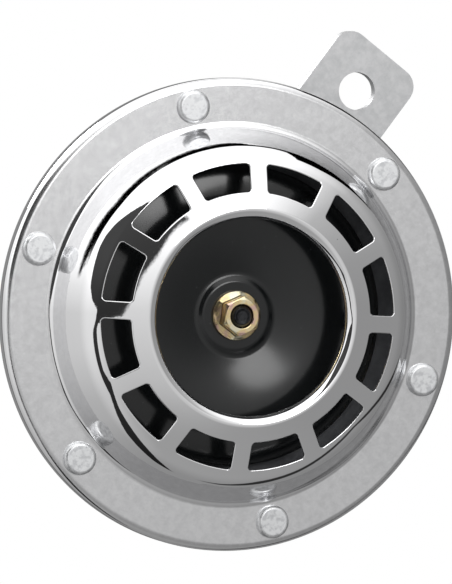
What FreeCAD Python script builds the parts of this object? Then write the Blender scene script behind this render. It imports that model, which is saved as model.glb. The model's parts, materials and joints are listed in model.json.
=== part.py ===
import FreeCAD, Part
import math
import os

import Sketcher

# A vehicle disc horn, fixed by the bolt hole of its flat bracket.
# Part frame: the origin is the centre of the bolt hole, +Z runs from the horn up the bracket, and the horn
# faces -Y. Each piece is drawn in the horn's own frame: its axis is the horn's axis, its origin is the centre
# of the flange's front face, and its local Z runs out of the mouth. One placement sets it into the part
# frame.

# Driving sizes in millimetres and degrees.
# Depths are measured back from the flange's front face, and heights forward from it.
SIZES = {
    # Mounting strip
    "hole_to_axis": 80.0,
    "bolt_hole_radius": 5.5,
    "strip_width": 28.4,
    "strip_sheet": 3.0,
    "strip_past_hole": 13.9,
    "strip_corner": 5.5,
    "strip_end_corner": 13.6,
    # Flange stack, from the front
    "flange_radius": 67.0,
    "grille_sheet": 1.0,
    "gasket_sheet": 0.8,
    "diaphragm_sheet": 0.4,
    "housing_sheet": 1.2,
    "skirt_past_stack": 1.3,
    "stack_clearance": 0.4,
    "gasket_clearance": 0.2,
    "gasket_width": 9.6,
    # Grille pressing
    "flange_edge_bend": 2.3,
    "flange_width": 13.6,
    "wall_foot_bend": 1.0,
    "wall_run": 6.9,
    "shoulder_height": 13.6,
    "shoulder_bend": 6.5,
    "mouth_radius": 27.7,
    "crown_slope": 19.0,
    "mouth_bend": 2.5,
    "mouth_lip_depth": 3.62,
    "window_margin": 3.5,
    "window_length": 7.9,
    "window_corner": 1.0,
    "window_count": 12,
    "spoke_width": 5.1,
    # Flange rivets
    "rivet_count": 6,
    "rivet_inset": 7.0,
    "first_rivet_angle": 19.2,
    "rivet_head_radius": 4.7,
    "rivet_head_height": 1.7,
    "rivet_head_edge": 1.1,
    "rivet_shank_radius": 2.5,
    "rivet_tail_radius": 3.8,
    "rivet_tail_height": 1.6,
    "hole_clearance": 0.1,
    # Rear housing
    "housing_mouth_gap": 1.6,
    "housing_taper": 4.5,
    "shelf_depth": 14.2,
    "shelf_width": 12.0,
    "cup_taper": 1.5,
    "housing_depth": 35.4,
    "housing_bend": 1.5,
    # Tone disc and what clamps it
    "tone_disc_gap": 4.0,
    "tone_disc_sheet": 1.2,
    "tone_disc_crest_height": 4.4,
    "tone_disc_lip_width": 13.5,
    "tone_disc_lip_drop": 1.35,
    "hub_radius": 10.4,
    "hub_height": 2.8,
    "hub_step": 0.8,
    "stud_radius": 3.0,
    "stud_past_nut": 0.3,
    "stud_head_radius": 4.8,
    "stud_head_height": 1.8,
    "clamp_washer_radius": 12.0,
    "clamp_washer_sheet": 0.8,
    "spacer_radius": 7.5,
    "nut_flange_radius": 7.1,
    "nut_flange_edge": 1.0,
    "nut_flange_rise": 1.2,
    "nut_across_flats": 10.0,
    "nut_height": 6.1,
    "bead_margin": 4.9,
    "bead_width": 10.0,
    "bead_height": 0.9,
    # Armature and magnet
    "armature_head_radius": 14.0,
    "armature_head_height": 2.0,
    "plunger_radius": 8.8,
    "plunger_length": 9.0,
    "magnet_gap": 0.9,
    "running_clearance": 0.5,
    "core_radius": 9.0,
    "core_stud_radius": 4.0,
    "core_stud_past_nut": 2.6,
    "yoke_edge_gap": 4.0,
    "yoke_sheet": 2.0,
    "yoke_rivet_count": 3,
    "first_yoke_rivet_angle": 60.0,
    "yoke_rivet_radius": 2.0,
    "yoke_rivet_head_radius": 3.4,
    "yoke_rivet_head_height": 1.2,
    # Coil
    "bobbin_wall": 1.0,
    "winding_thickness": 12.1,
    "winding_margin": 1.5,
    "lead_radius": 0.5,
    "lead_bend": 2.0,
    "lead_hole_radius": 1.5,
    "lead_gap": 2.5,
    "lead_angle_1": 255.0,
    "lead_angle_2": 330.0,
    # Contact breaker, on the right of the yoke plate
    "breaker_length": 8.0,
    "breaker_width": 16.0,
    "breaker_rivet_spacing": 9.0,
    "breaker_rivet_radius": 1.5,
    "breaker_rivet_head_radius": 2.4,
    "breaker_rivet_head_height": 1.0,
    "contact_base_height": 2.5,
    "arm_sheet": 0.4,
    "arm_tongue_width": 7.0,
    "arm_tip_gap": 1.2,
    "arm_tab_length": 3.5,
    "contact_radius": 2.0,
    "contact_height": 0.6,
    "contact_shank_radius": 1.0,
    "contact_tail_radius": 1.6,
    "contact_tail_height": 0.4,
    "contact_strip_sheet": 1.0,
    "contact_strip_end": 3.0,
    "pad_length": 3.0,
    "pad_width": 5.0,
    "pad_gap": 0.1,
    # Adjusting screw
    "adjuster_radius": 2.0,
    "adjuster_past_nut": 5.1,
    "adjuster_slot_width": 0.8,
    "adjuster_slot_depth": 1.2,
    "locknut_across_flats": 7.0,
    "locknut_height": 3.2,
    # Terminals, at the bottom of the shelf
    "block_width": 25.0,
    "block_depth": 5.6,
    "block_inset": 1.3,
    "block_height": 6.0,
    "insulator_sheet": 1.0,
    "blade_spacing": 14.0,
    "blade_width": 6.3,
    "blade_sheet": 0.8,
    "blade_reach": 14.0,
    "blade_tip_taper": 1.2,
    "blade_hole_radius": 0.9,
    "blade_hole_from_tip": 3.4,
    "blade_foot_length": 6.4,
    "slot_clearance": 0.8,
    "terminal_rivet_radius": 1.5,
    "terminal_rivet_head_radius": 2.3,
    "terminal_rivet_head_height": 0.9,
    # Bracket fastening
    "bracket_washer_radius": 7.2,
    "bracket_washer_sheet": 2.0,
    "bracket_washer_split": 1.6,
    "bracket_nut_across_flats": 13.0,
    "bracket_nut_height": 6.5,
    "thread_clearance": 0.05,
    "nut_chamfer": 0.6,
    "stud_chamfer": 0.6,
}
PARTS_FOLDER = "parts"
RIGHT_ANGLE = 90.0
FULL_TURN = 360.0
TOLERANCE = 1e-3
HEXAGON = 6

doc = FreeCAD.newDocument("disc_horn")


class Size:
    """A length or an angle that knows its number and the sheet expression that it comes from."""

    def __init__(self, number, text):
        self.number = float(number)
        self.text = text

    def __add__(self, other):
        other = size(other)
        return Size(self.number + other.number, f"({self.text} + {other.text})")

    def __sub__(self, other):
        other = size(other)
        return Size(self.number - other.number, f"({self.text} - {other.text})")

    def __mul__(self, other):
        other = size(other)
        return Size(self.number * other.number, f"({self.text} * {other.text})")

    def __truediv__(self, other):
        other = size(other)
        return Size(self.number / other.number, f"({self.text} / {other.text})")

    def __neg__(self):
        return Size(-self.number, f"(-{self.text})")


def size(value):
    """Wraps a plain number, so that it can take part in an expression."""
    return value if isinstance(value, Size) else Size(value, repr(value))


def cosine(angle):
    return Size(math.cos(math.radians(angle.number)), f"cos({angle.text} * 1 deg)")


def sine(angle):
    return Size(math.sin(math.radians(angle.number)), f"sin({angle.text} * 1 deg)")


def tangent(angle):
    return sine(angle) / cosine(angle)


def write_sheet():
    """Puts every driving size into the spreadsheet and returns them by name."""
    sheet = doc.addObject("Spreadsheet::Sheet", "Sizes")
    named = {}
    for row, (alias, number) in enumerate(SIZES.items(), start=1):
        sheet.set(f"A{row}", alias.replace("_", " "))
        sheet.set(f"B{row}", str(number))
        sheet.setAlias(f"B{row}", alias)
        named[alias] = Size(number, f"Sizes.{alias}")
    doc.recompute()
    return named


S = write_sheet()
ZERO = size(0.0)

# Radii and heights of the grille's corners
wall_foot_radius = S["flange_radius"] - S["flange_width"]
shoulder_radius = wall_foot_radius - S["wall_run"]
crown_rise = (shoulder_radius - S["mouth_radius"]) * tangent(S["crown_slope"])
crown_height = S["shoulder_height"] + crown_rise
mouth_edge_height = crown_height - S["mouth_lip_depth"]
window_outer = shoulder_radius - S["window_margin"]
window_inner = window_outer - S["window_length"]
rivet_circle = S["flange_radius"] - S["rivet_inset"]
rivet_hole = S["rivet_shank_radius"] + S["hole_clearance"]

# Depths of the faces of the stack, worked out from the sheets of metal and paper
grille_back = S["grille_sheet"]
diaphragm_front = grille_back + S["gasket_sheet"]
diaphragm_back = diaphragm_front + S["diaphragm_sheet"]
housing_front = diaphragm_back + S["gasket_sheet"]
housing_back = housing_front + S["housing_sheet"]
skirt_end = housing_back + S["skirt_past_stack"]
gasket_radius = S["flange_radius"] - S["flange_edge_bend"] - S["gasket_clearance"]
gasket_bore = gasket_radius - S["gasket_width"]
housing_radius = S["flange_radius"] - S["grille_sheet"] - S["stack_clearance"]

# Rear housing, and what stands on its shelf
housing_mouth_radius = wall_foot_radius + S["housing_mouth_gap"]
shelf_radius = housing_mouth_radius - S["housing_taper"]
cup_mouth_radius = shelf_radius - S["shelf_width"]
cup_end_radius = cup_mouth_radius - S["cup_taper"]
shelf_middle = (shelf_radius + cup_mouth_radius) / 2
shelf_front = S["shelf_depth"] - S["housing_sheet"]
yoke_front = shelf_front - S["yoke_sheet"]
yoke_radius = shelf_radius - S["yoke_edge_gap"]
yoke_rivet_hole = S["yoke_rivet_radius"] + S["hole_clearance"]
cup_floor = S["housing_depth"] - S["housing_sheet"]

# Moving unit and magnet
tone_disc_radius = shoulder_radius - S["tone_disc_gap"]
hub_back = S["hub_height"] - S["tone_disc_sheet"]
nut_top = S["hub_height"] + S["nut_height"]
washer_front = diaphragm_front - S["clamp_washer_sheet"]
stud_hole = S["stud_radius"] + S["hole_clearance"]
armature_front = diaphragm_back + S["clamp_washer_sheet"]
armature_head_back = armature_front + S["armature_head_height"]
armature_end = armature_head_back + S["plunger_length"]
core_front = armature_end + S["magnet_gap"]
bobbin_bore = S["core_radius"] + S["hole_clearance"] * 2
bobbin_tube = bobbin_bore + S["bobbin_wall"]
winding_radius = bobbin_tube + S["winding_thickness"]
bobbin_flange_radius = winding_radius + S["winding_margin"]
winding_front = shelf_front + S["bobbin_wall"]
winding_back = cup_floor - S["bobbin_wall"]
lead_circle = bobbin_flange_radius + S["lead_gap"]

# Contact breaker and adjusting screw
breaker_middle = (bobbin_flange_radius + cup_mouth_radius) / 2
breaker_inner = breaker_middle - S["breaker_length"] / 2
breaker_outer = breaker_middle + S["breaker_length"] / 2
breaker_rivet_hole = S["breaker_rivet_radius"] + S["hole_clearance"]
arm_tip = S["plunger_radius"] + S["arm_tip_gap"]
arm_back = yoke_front - S["contact_base_height"]
arm_front = arm_back - S["arm_sheet"]
contact_place = (S["armature_head_radius"] + breaker_inner) / 2
contact_strip_back = arm_front - S["contact_height"] * 2
contact_strip_front = contact_strip_back - S["contact_strip_sheet"]
adjuster_hole = S["adjuster_radius"] + S["hole_clearance"]
adjuster_end = S["shelf_depth"] + S["locknut_height"] + S["adjuster_past_nut"]

# Terminals
blade_place = shelf_middle - S["block_inset"]
block_back = S["shelf_depth"] + S["block_height"]
insulator_front = yoke_front - S["insulator_sheet"]
foot_front = insulator_front - S["blade_sheet"]
blade_slot_width = S["blade_width"] + S["slot_clearance"] * 2
blade_slot_depth = S["blade_sheet"] + S["slot_clearance"] * 2
terminal_rivet_hole = S["terminal_rivet_radius"] + S["hole_clearance"]

# Bracket and its fastening
strip_back = S["housing_depth"] + S["strip_sheet"]
strip_middle = S["housing_depth"] + S["strip_sheet"] / 2
washer_back = strip_back + S["bracket_washer_sheet"]
bracket_nut_back = washer_back + S["bracket_nut_height"]
core_stud_hole = S["core_stud_radius"] + S["hole_clearance"]


def new_body(label):
    """Starts a piece, and ties its place to the sheet: horn frame into part frame."""
    body = doc.addObject("PartDesign::Body", label)
    body.Label = label
    body.Placement = FreeCAD.Placement(
        FreeCAD.Vector(), FreeCAD.Rotation(FreeCAD.Vector(1, 0, 0), RIGHT_ANGLE)
    )
    body.setExpression("Placement.Base.y", (-strip_middle).text)
    body.setExpression("Placement.Base.z", (-S["hole_to_axis"]).text)
    return body


def new_sketch(body, name, role, offset=None):
    """Attaches a sketch to one of the body's own planes, raised by offset along that plane's normal."""
    sketch = body.newObject("Sketcher::SketchObject", name)
    plane = next(f for f in body.Origin.OriginFeatures if f.Role == role)
    sketch.AttachmentSupport = [(plane, "")]
    sketch.MapMode = "FlatFace"
    if offset is not None:
        sketch.AttachmentOffset = FreeCAD.Placement(
            FreeCAD.Vector(0, 0, offset.number), FreeCAD.Rotation()
        )
        sketch.setExpression("AttachmentOffset.Base.z", offset.text)
    return sketch


def bind(sketch, constraint, value):
    """Adds a dimension and ties it to its expression."""
    index = sketch.addConstraint(constraint)
    sketch.setExpression(f"Constraints[{index}]", value.text)


def fix_point(sketch, line, end, x, y):
    """Dimensions one end of a line from the sketch's origin."""
    for kind, value, axis in (("DistanceX", x, -2), ("DistanceY", y, -1)):
        if abs(value.number) < TOLERANCE:
            sketch.addConstraint(Sketcher.Constraint("PointOnObject", line, end, axis))
        elif value.number > 0:
            bind(sketch, Sketcher.Constraint(kind, -1, 1, line, end, value.number), value)
        else:
            bind(sketch, Sketcher.Constraint(kind, line, end, -1, 1, -value.number), -value)


def draw_loop(sketch, corners):
    """Draws a closed run of straight lines through the corners, given as plain numbers."""
    first = sketch.GeometryCount
    ends = corners[1:] + corners[:1]
    for (x1, y1), (x2, y2) in zip(corners, ends):
        line = Part.LineSegment(FreeCAD.Vector(x1, y1, 0), FreeCAD.Vector(x2, y2, 0))
        sketch.addGeometry(line, False)
    for index in range(len(corners)):
        following = first + (index + 1) % len(corners)
        sketch.addConstraint(Sketcher.Constraint("Coincident", first + index, 2, following, 1))
    return first


def draw_outline(sketch, corners):
    """Draws a closed polygon whose every corner is dimensioned."""
    first = draw_loop(sketch, [(x.number, y.number) for x, y in corners])
    for index, (x, y) in enumerate(corners):
        fix_point(sketch, first + index, 1, x, y)


def draw_circle(sketch, x, y, radius):
    """Draws a circle with its centre and radius dimensioned."""
    centre = FreeCAD.Vector(x.number, y.number, 0)
    circle = sketch.addGeometry(
        Part.Circle(centre, FreeCAD.Vector(0, 0, 1), radius.number), False
    )
    bind(sketch, Sketcher.Constraint("Radius", circle, radius.number), radius)
    fix_point(sketch, circle, 3, x, y)


def offset_run(corners, distance):
    """Shifts an open run of corners sideways, to the left of its direction when distance is positive."""
    normals = []
    for (x1, y1), (x2, y2) in zip(corners, corners[1:]):
        length = math.hypot(x2 - x1, y2 - y1)
        normals.append(((y1 - y2) / length, (x2 - x1) / length))
    shifted = []
    for index, (x, y) in enumerate(corners):
        before = normals[max(index - 1, 0)]
        after = normals[min(index, len(normals) - 1)]
        reach = distance / (1 + before[0] * after[0] + before[1] * after[1])
        shifted.append((x + (before[0] + after[0]) * reach, y + (before[1] + after[1]) * reach))
    return shifted


def draw_sheet(sketch, corners, thickness, side):
    """Draws the section of a pressed sheet: the given run, and its parallel on the side 1 (left) or -1."""
    run = [(x.number, y.number) for x, y in corners]
    count = len(run)
    draw_loop(sketch, run + offset_run(run, side * thickness.number)[::-1])
    for index, (x, y) in enumerate(corners):
        fix_point(sketch, index, 1, x, y)
    for outer in range(count - 1):
        inner = 2 * count - 2 - outer
        sketch.addConstraint(Sketcher.Constraint("Parallel", outer, inner))
        bind(sketch, Sketcher.Constraint("Distance", inner, 1, outer, thickness.number), thickness)
    sketch.addConstraint(Sketcher.Constraint("Perpendicular", count - 1, count - 2))
    sketch.addConstraint(Sketcher.Constraint("Perpendicular", 2 * count - 1, 0))


def revolve(body, sketch, kind="PartDesign::Revolution"):
    """Turns a section about the horn's axis, or cuts with it when kind is a groove."""
    feature = body.newObject(kind, sketch.Name + "_turned")
    feature.Profile = sketch
    feature.ReferenceAxis = (sketch, ["V_Axis"])
    feature.Angle = FULL_TURN
    doc.recompute()
    return feature


def turned(label, corners):
    """A turned piece: its half section is given as radius and height."""
    body = new_body(label)
    sketch = new_sketch(body, label + "_section", "XZ_Plane")
    draw_outline(sketch, corners)
    revolve(body, sketch)
    return body


def pressed(label, corners, thickness, side):
    """A drawn piece of sheet metal: its section runs along one face of the sheet."""
    body = new_body(label)
    sketch = new_sketch(body, label + "_section", "XZ_Plane")
    draw_sheet(sketch, corners, thickness, side)
    revolve(body, sketch)
    return body


def ring(label, inner, outer, front_depth, back_depth):
    """A washer between two depths behind the flange's front face."""
    corners = [
        (inner, -back_depth),
        (outer, -back_depth),
        (outer, -front_depth),
        (inner, -front_depth),
    ]
    return turned(label, corners)


def pad(body, sketch, length, reverse=False):
    """Raises a flat outline into a solid."""
    feature = body.newObject("PartDesign::Pad", sketch.Name + "_pad")
    feature.Profile = sketch
    feature.Length = length.number
    feature.setExpression("Length", length.text)
    feature.Reversed = reverse
    doc.recompute()
    return feature


def cut_through(body, sketch):
    """Cuts a flat outline through the whole piece, both ways."""
    before = body.Shape.Volume
    feature = body.newObject("PartDesign::Pocket", sketch.Name + "_cut")
    feature.Profile = sketch
    feature.Type = "ThroughAll"
    feature.Midplane = True
    doc.recompute()
    if body.Shape.Volume > before - TOLERANCE:
        raise RuntimeError(f"{sketch.Name} cuts nothing")
    return feature


def polar(body, feature, count):
    """Repeats a feature evenly about the horn's axis."""
    pattern = body.newObject("PartDesign::PolarPattern", feature.Name + "_ring")
    pattern.Originals = [feature]
    pattern.Axis = (feature.Profile[0], ["N_Axis"])
    pattern.Angle = FULL_TURN
    pattern.Occurrences = int(count.number)
    pattern.setExpression("Occurrences", count.text)
    body.Tip = pattern
    doc.recompute()
    return pattern


def circles_at(body, spots):
    """Names the round edges of the piece's latest shape that lie at the given radii and heights."""
    wanted = [(r.number, z.number) for r, z in spots]
    names = []
    for index, edge in enumerate(body.Tip.Shape.Edges, start=1):
        if not isinstance(edge.Curve, Part.Circle):
            continue
        radius, height = edge.Curve.Radius, edge.Curve.Center.z
        if any(abs(radius - r) < TOLERANCE and abs(height - z) < TOLERANCE for r, z in wanted):
            names.append(f"Edge{index}")
    return names


def round_edges(body, edges, radius):
    """Rounds the named edges of the piece's latest shape."""
    base = body.Tip
    feature = body.newObject("PartDesign::Fillet", f"{body.Name}_rounding")
    feature.Base = (base, edges)
    feature.Radius = radius.number
    feature.setExpression("Radius", radius.text)
    doc.recompute()
    return feature


def round_bend(body, corner, thickness, side, neighbours, inner_radius, outward):
    """Rounds both faces of a sheet at one bend, so that the sheet keeps its thickness."""
    run = [(x.number, y.number) for x, y in (neighbours[0], corner, neighbours[1])]
    inner = offset_run(run, side * thickness.number)[1]
    inner_spot = (size(inner[0]), size(inner[1]))
    outer_radius = inner_radius + thickness
    radii = (outer_radius, inner_radius) if outward else (inner_radius, outer_radius)
    round_edges(body, circles_at(body, [corner]), radii[0])
    round_edges(body, circles_at(body, [inner_spot]), radii[1])


def rivet_holes(body):
    """Drills the ring of flange rivet holes."""
    sketch = new_sketch(body, body.Name + "_rivet_hole", "XY_Plane")
    draw_circle(sketch, *around(rivet_circle, S["first_rivet_angle"]), rivet_hole)
    polar(body, cut_through(body, sketch), S["rivet_count"])


def drill(body, name, spots, radius):
    """Drills one or more straight holes through the piece."""
    sketch = new_sketch(body, f"{body.Name}_{name}", "XY_Plane")
    for x, y in spots:
        draw_circle(sketch, x, y, radius)
    cut_through(body, sketch)


def around(radius, angle):
    """A place on a circle about the horn's axis."""
    return radius * cosine(angle), radius * sine(angle)


def yoke_rivet_angles():
    step = size(FULL_TURN) / S["yoke_rivet_count"]
    return [
        S["first_yoke_rivet_angle"] + step * index
        for index in range(int(S["yoke_rivet_count"].number))
    ]


def window_sketch(body):
    """One window: two arcs about the horn's axis, two straight spoke sides and four rounded corners."""
    sketch = new_sketch(body, "window", "XY_Plane")
    middle = S["first_rivet_angle"]
    half_pitch = size(FULL_TURN / 2) / S["window_count"]
    half_spoke = S["spoke_width"] / 2
    corner = S["window_corner"]
    turn = half_pitch.number

    def corner_centre(radius, side):
        """Centre of the corner circle that touches the arc and the spoke's side."""
        across = half_spoke.number + corner.number
        along = math.sqrt(radius ** 2 - across ** 2)
        lean = math.radians(middle.number - side * turn)
        return FreeCAD.Vector(
            along * math.cos(lean) - side * across * math.sin(lean),
            along * math.sin(lean) + side * across * math.cos(lean),
            0,
        )

    def arc(centre, radius, start, end):
        """Arc from the direction start to the direction end, counter-clockwise, in radians."""
        circle = Part.Circle(centre, FreeCAD.Vector(0, 0, 1), radius)
        return Part.ArcOfCircle(circle, start, end)

    outer, inner = window_outer.number, window_inner.number
    right_lean = math.radians(middle.number - turn)
    left_lean = math.radians(middle.number + turn)
    quarter = math.pi / 2
    c_right_out = corner_centre(outer - corner.number, 1)
    c_left_out = corner_centre(outer - corner.number, -1)
    c_left_in = corner_centre(inner + corner.number, -1)
    c_right_in = corner_centre(inner + corner.number, 1)
    a_right_out = math.atan2(c_right_out.y, c_right_out.x)
    a_left_out = math.atan2(c_left_out.y, c_left_out.x)
    a_left_in = math.atan2(c_left_in.y, c_left_in.x)
    a_right_in = math.atan2(c_right_in.y, c_right_in.x)

    def beside(centre, direction):
        """Point of a corner circle in the given direction."""
        return centre + FreeCAD.Vector(math.cos(direction), math.sin(direction), 0) * corner.number

    origin = FreeCAD.Vector()
    r = corner.number
    geometry = [
        arc(origin, outer, a_right_out, a_left_out),
        arc(c_left_out, r, a_left_out, left_lean + quarter),
        Part.LineSegment(beside(c_left_out, left_lean + quarter), beside(c_left_in, left_lean + quarter)),
        arc(c_left_in, r, left_lean + quarter, a_left_in + math.pi),
        arc(origin, inner, a_right_in, a_left_in),
        arc(c_right_in, r, a_right_in + math.pi, right_lean + 3 * quarter),
        Part.LineSegment(beside(c_right_in, right_lean - quarter), beside(c_right_out, right_lean - quarter)),
        arc(c_right_out, r, right_lean - quarter, a_right_out),
    ]
    sketch.addGeometry(geometry, False)
    joins = (
        (0, 2, 1, 1),
        (1, 2, 2, 1),
        (2, 2, 3, 1),
        (3, 2, 4, 2),
        (4, 1, 5, 1),
        (5, 2, 6, 1),
        (6, 2, 7, 1),
        (7, 2, 0, 1),
    )
    for join in joins:
        sketch.addConstraint(Sketcher.Constraint("Tangent", *join))
    for index in (0, 4):
        sketch.addConstraint(Sketcher.Constraint("Coincident", index, 3, -1, 1))
    bind(sketch, Sketcher.Constraint("Radius", 0, outer), window_outer)
    bind(sketch, Sketcher.Constraint("Radius", 4, inner), window_inner)
    for index in (1, 3, 5, 7):
        bind(sketch, Sketcher.Constraint("Radius", index, r), corner)
    for index in (2, 6):
        bind(sketch, Sketcher.Constraint("Distance", -1, 1, index, half_spoke.number), half_spoke)
    bind(sketch, Sketcher.Constraint("Angle", -1, 1, 6, 1, right_lean), middle - half_pitch)
    bind(sketch, Sketcher.Constraint("Angle", -1, 1, 2, 2, left_lean), middle + half_pitch)
    doc.recompute()
    return sketch


def front_grille():
    """One steel pressing: skirt, flange, dome wall, windowed crown and curled mouth."""
    run = [
        (S["flange_radius"], -skirt_end),
        (S["flange_radius"], ZERO),
        (wall_foot_radius, ZERO),
        (shoulder_radius, S["shoulder_height"]),
        (S["mouth_radius"], crown_height),
        (S["mouth_radius"], mouth_edge_height),
    ]
    sheet = S["grille_sheet"]
    body = pressed("front_grille", run, sheet, 1)
    bends = (
        (1, S["flange_edge_bend"] - sheet, True),
        (2, S["wall_foot_bend"], False),
        (3, S["shoulder_bend"] - sheet, True),
        (4, S["mouth_bend"] - sheet, True),
    )
    for index, inner_radius, outward in bends:
        round_bend(body, run[index], sheet, 1, (run[index - 1], run[index + 1]), inner_radius, outward)
    polar(body, cut_through(body, window_sketch(body)), S["window_count"])
    rivet_holes(body)
    return body


def gasket(label, front_depth):
    """A paper ring on one side of the diaphragm."""
    body = ring(label, gasket_bore, gasket_radius, front_depth, front_depth + S["gasket_sheet"])
    rivet_holes(body)
    return body


def diaphragm():
    """Thin spring steel with one raised bead that lets its middle move."""
    bead_top = S["bead_height"] - diaphragm_back
    bead_slope = S["bead_height"] * 2
    bead_outer = gasket_bore - S["bead_margin"]
    bead_inner = bead_outer - S["bead_width"]
    run = [
        (gasket_radius, -diaphragm_back),
        (bead_outer, -diaphragm_back),
        (bead_outer - bead_slope, bead_top),
        (bead_inner + bead_slope, bead_top),
        (bead_inner, -diaphragm_back),
        (stud_hole, -diaphragm_back),
    ]
    body = pressed("diaphragm", run, S["diaphragm_sheet"], -1)
    rivet_holes(body)
    return body


def rear_housing():
    """Deep-drawn cup with a flange and a shelf, and holes for what passes through the shelf and the floor."""
    run = [
        (housing_radius, -housing_back),
        (housing_mouth_radius, -housing_back),
        (shelf_radius, -S["shelf_depth"]),
        (cup_mouth_radius, -S["shelf_depth"]),
        (cup_end_radius, -S["housing_depth"]),
        (core_stud_hole, -S["housing_depth"]),
    ]
    sheet = S["housing_sheet"]
    body = pressed("rear_housing", run, sheet, -1)
    for index, outward in ((1, False), (2, True), (3, False), (4, True)):
        neighbours = (run[index - 1], run[index + 1])
        round_bend(body, run[index], sheet, -1, neighbours, S["housing_bend"], outward)
    rivet_holes(body)
    cut_shelf_holes(body)
    return body


def cut_shelf_holes(body):
    """Holes that the shelf and the yoke plate share."""
    rivets = [around(shelf_middle, angle) for angle in yoke_rivet_angles()]
    drill(body, "yoke_rivet_holes", rivets, yoke_rivet_hole)
    drill(body, "adjuster_hole", [(shelf_middle, ZERO)], adjuster_hole)
    drill(body, "terminal_rivet_hole", [(ZERO, -blade_place)], terminal_rivet_hole)
    sketch = new_sketch(body, f"{body.Name}_blade_slots", "XY_Plane")
    for side in (-1, 1):
        place = S["blade_spacing"] / 2 * side
        draw_rectangle(sketch, place, -blade_place, blade_slot_width, blade_slot_depth)
    cut_through(body, sketch)


def draw_rectangle(sketch, x, y, width, height):
    """Draws a rectangle about its centre."""
    corners = [
        (x - width / 2, y - height / 2),
        (x + width / 2, y - height / 2),
        (x + width / 2, y + height / 2),
        (x - width / 2, y + height / 2),
    ]
    draw_outline(sketch, corners)


def place_off_axis(body, x, y):
    """Moves a piece that was turned about the horn's axis to its own place beside it."""
    body.setExpression("Placement.Base.x", x.text)
    body.setExpression("Placement.Base.z", (y - S["hole_to_axis"]).text)


def rivet(label, place, depths, radii, head_edge=None):
    """A rivet: depths are head top, head seat, tail seat and tail end; radii are head, shank and tail."""
    top, seat, tail_seat, tail_end = depths
    head, shank, tail = radii
    corners = [
        (ZERO, -tail_end),
        (tail, -tail_end),
        (tail, -tail_seat),
        (shank, -tail_seat),
        (shank, -seat),
        (head, -seat),
        (head, -top),
        (ZERO, -top),
    ]
    body = turned(label, corners)
    if head_edge is not None:
        round_edges(body, circles_at(body, [(head, -top)]), head_edge)
    place_off_axis(body, *place)
    return body


def flange_rivets():
    """Six rivets through the flange stack, bright heads to the front."""
    step = size(FULL_TURN) / S["rivet_count"]
    bodies = []
    for index in range(int(S["rivet_count"].number)):
        place = around(rivet_circle, S["first_rivet_angle"] + step * index)
        depths = (-S["rivet_head_height"], ZERO, housing_back, housing_back + S["rivet_tail_height"])
        radii = (S["rivet_head_radius"], S["rivet_shank_radius"], S["rivet_tail_radius"])
        bodies.append(rivet(f"flange_rivet_{index + 1}", place, depths, radii, S["rivet_head_edge"]))
    return bodies


def tone_disc():
    """Shallow dished disc with a turned-down rim and a raised flat hub."""
    step_foot = S["hub_radius"] + S["hub_step"]
    run = [
        (tone_disc_radius, S["tone_disc_crest_height"] - S["tone_disc_lip_drop"]),
        (tone_disc_radius - S["tone_disc_lip_width"], S["tone_disc_crest_height"]),
        (step_foot, S["hub_height"] - S["hub_step"]),
        (S["hub_radius"], S["hub_height"]),
        (stud_hole, S["hub_height"]),
    ]
    return pressed("tone_disc", run, S["tone_disc_sheet"], 1)


def hexagon(sketch, across_flats):
    """Draws a regular hexagon about the sketch's origin, flats up and down."""
    corner_radius = across_flats / 2 / cosine(size(FULL_TURN / HEXAGON / 2))
    corners = [around(corner_radius, size(FULL_TURN / HEXAGON * index)) for index in range(HEXAGON)]
    draw_outline(sketch, corners)
    return corner_radius


def chamfer_hexagon(body, name, corner_radius, face, inward):
    """Turns the corners off one end of a hexagon; inward is 1 when the nut lies above the face, or -1."""
    chamfer = S["nut_chamfer"]
    sketch = new_sketch(body, name, "XZ_Plane")
    corners = [
        (corner_radius - chamfer, face),
        (corner_radius + chamfer, face),
        (corner_radius + chamfer, face + chamfer * inward),
    ]
    draw_outline(sketch, corners)
    revolve(body, sketch, "PartDesign::Groove")


def hex_nut(label, across_flats, low, high, bore):
    """Plain hexagon nut between two heights, chamfered at both ends."""
    body = new_body(label)
    sketch = new_sketch(body, label + "_hexagon", "XY_Plane", low)
    corner_radius = hexagon(sketch, across_flats)
    draw_circle(sketch, ZERO, ZERO, bore)
    pad(body, sketch, high - low)
    chamfer_hexagon(body, label + "_lower_chamfer", corner_radius, low, 1)
    chamfer_hexagon(body, label + "_upper_chamfer", corner_radius, high, -1)
    return body


def tone_disc_nut():
    """Hexagon nut with a sloping round flange."""
    low = S["hub_height"]
    bore = S["stud_radius"] + S["thread_clearance"]
    slope_top = low + S["nut_flange_edge"] + S["nut_flange_rise"]
    corners = [
        (bore, low),
        (S["nut_flange_radius"], low),
        (S["nut_flange_radius"], low + S["nut_flange_edge"]),
        (S["nut_across_flats"] / 2, slope_top),
        (bore, slope_top),
    ]
    body = turned("tone_disc_nut", corners)
    sketch = new_sketch(body, "tone_disc_nut_hexagon", "XY_Plane", low + S["nut_flange_edge"])
    corner_radius = hexagon(sketch, S["nut_across_flats"])
    draw_circle(sketch, ZERO, ZERO, bore)
    pad(body, sketch, nut_top - low - S["nut_flange_edge"])
    chamfer_hexagon(body, "tone_disc_nut_chamfer", corner_radius, nut_top, -1)
    return body


def armature_stud():
    """Stud through armature, diaphragm, spacer and tone disc, with its head let into the armature."""
    seat = armature_end - S["stud_head_height"]
    top = nut_top + S["stud_past_nut"]
    corners = [
        (ZERO, -armature_end),
        (S["stud_head_radius"], -armature_end),
        (S["stud_head_radius"], -seat),
        (S["stud_radius"], -seat),
        (S["stud_radius"], top - S["stud_chamfer"]),
        (S["stud_radius"] - S["stud_chamfer"], top),
        (ZERO, top),
    ]
    return turned("armature_stud", corners)


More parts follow.
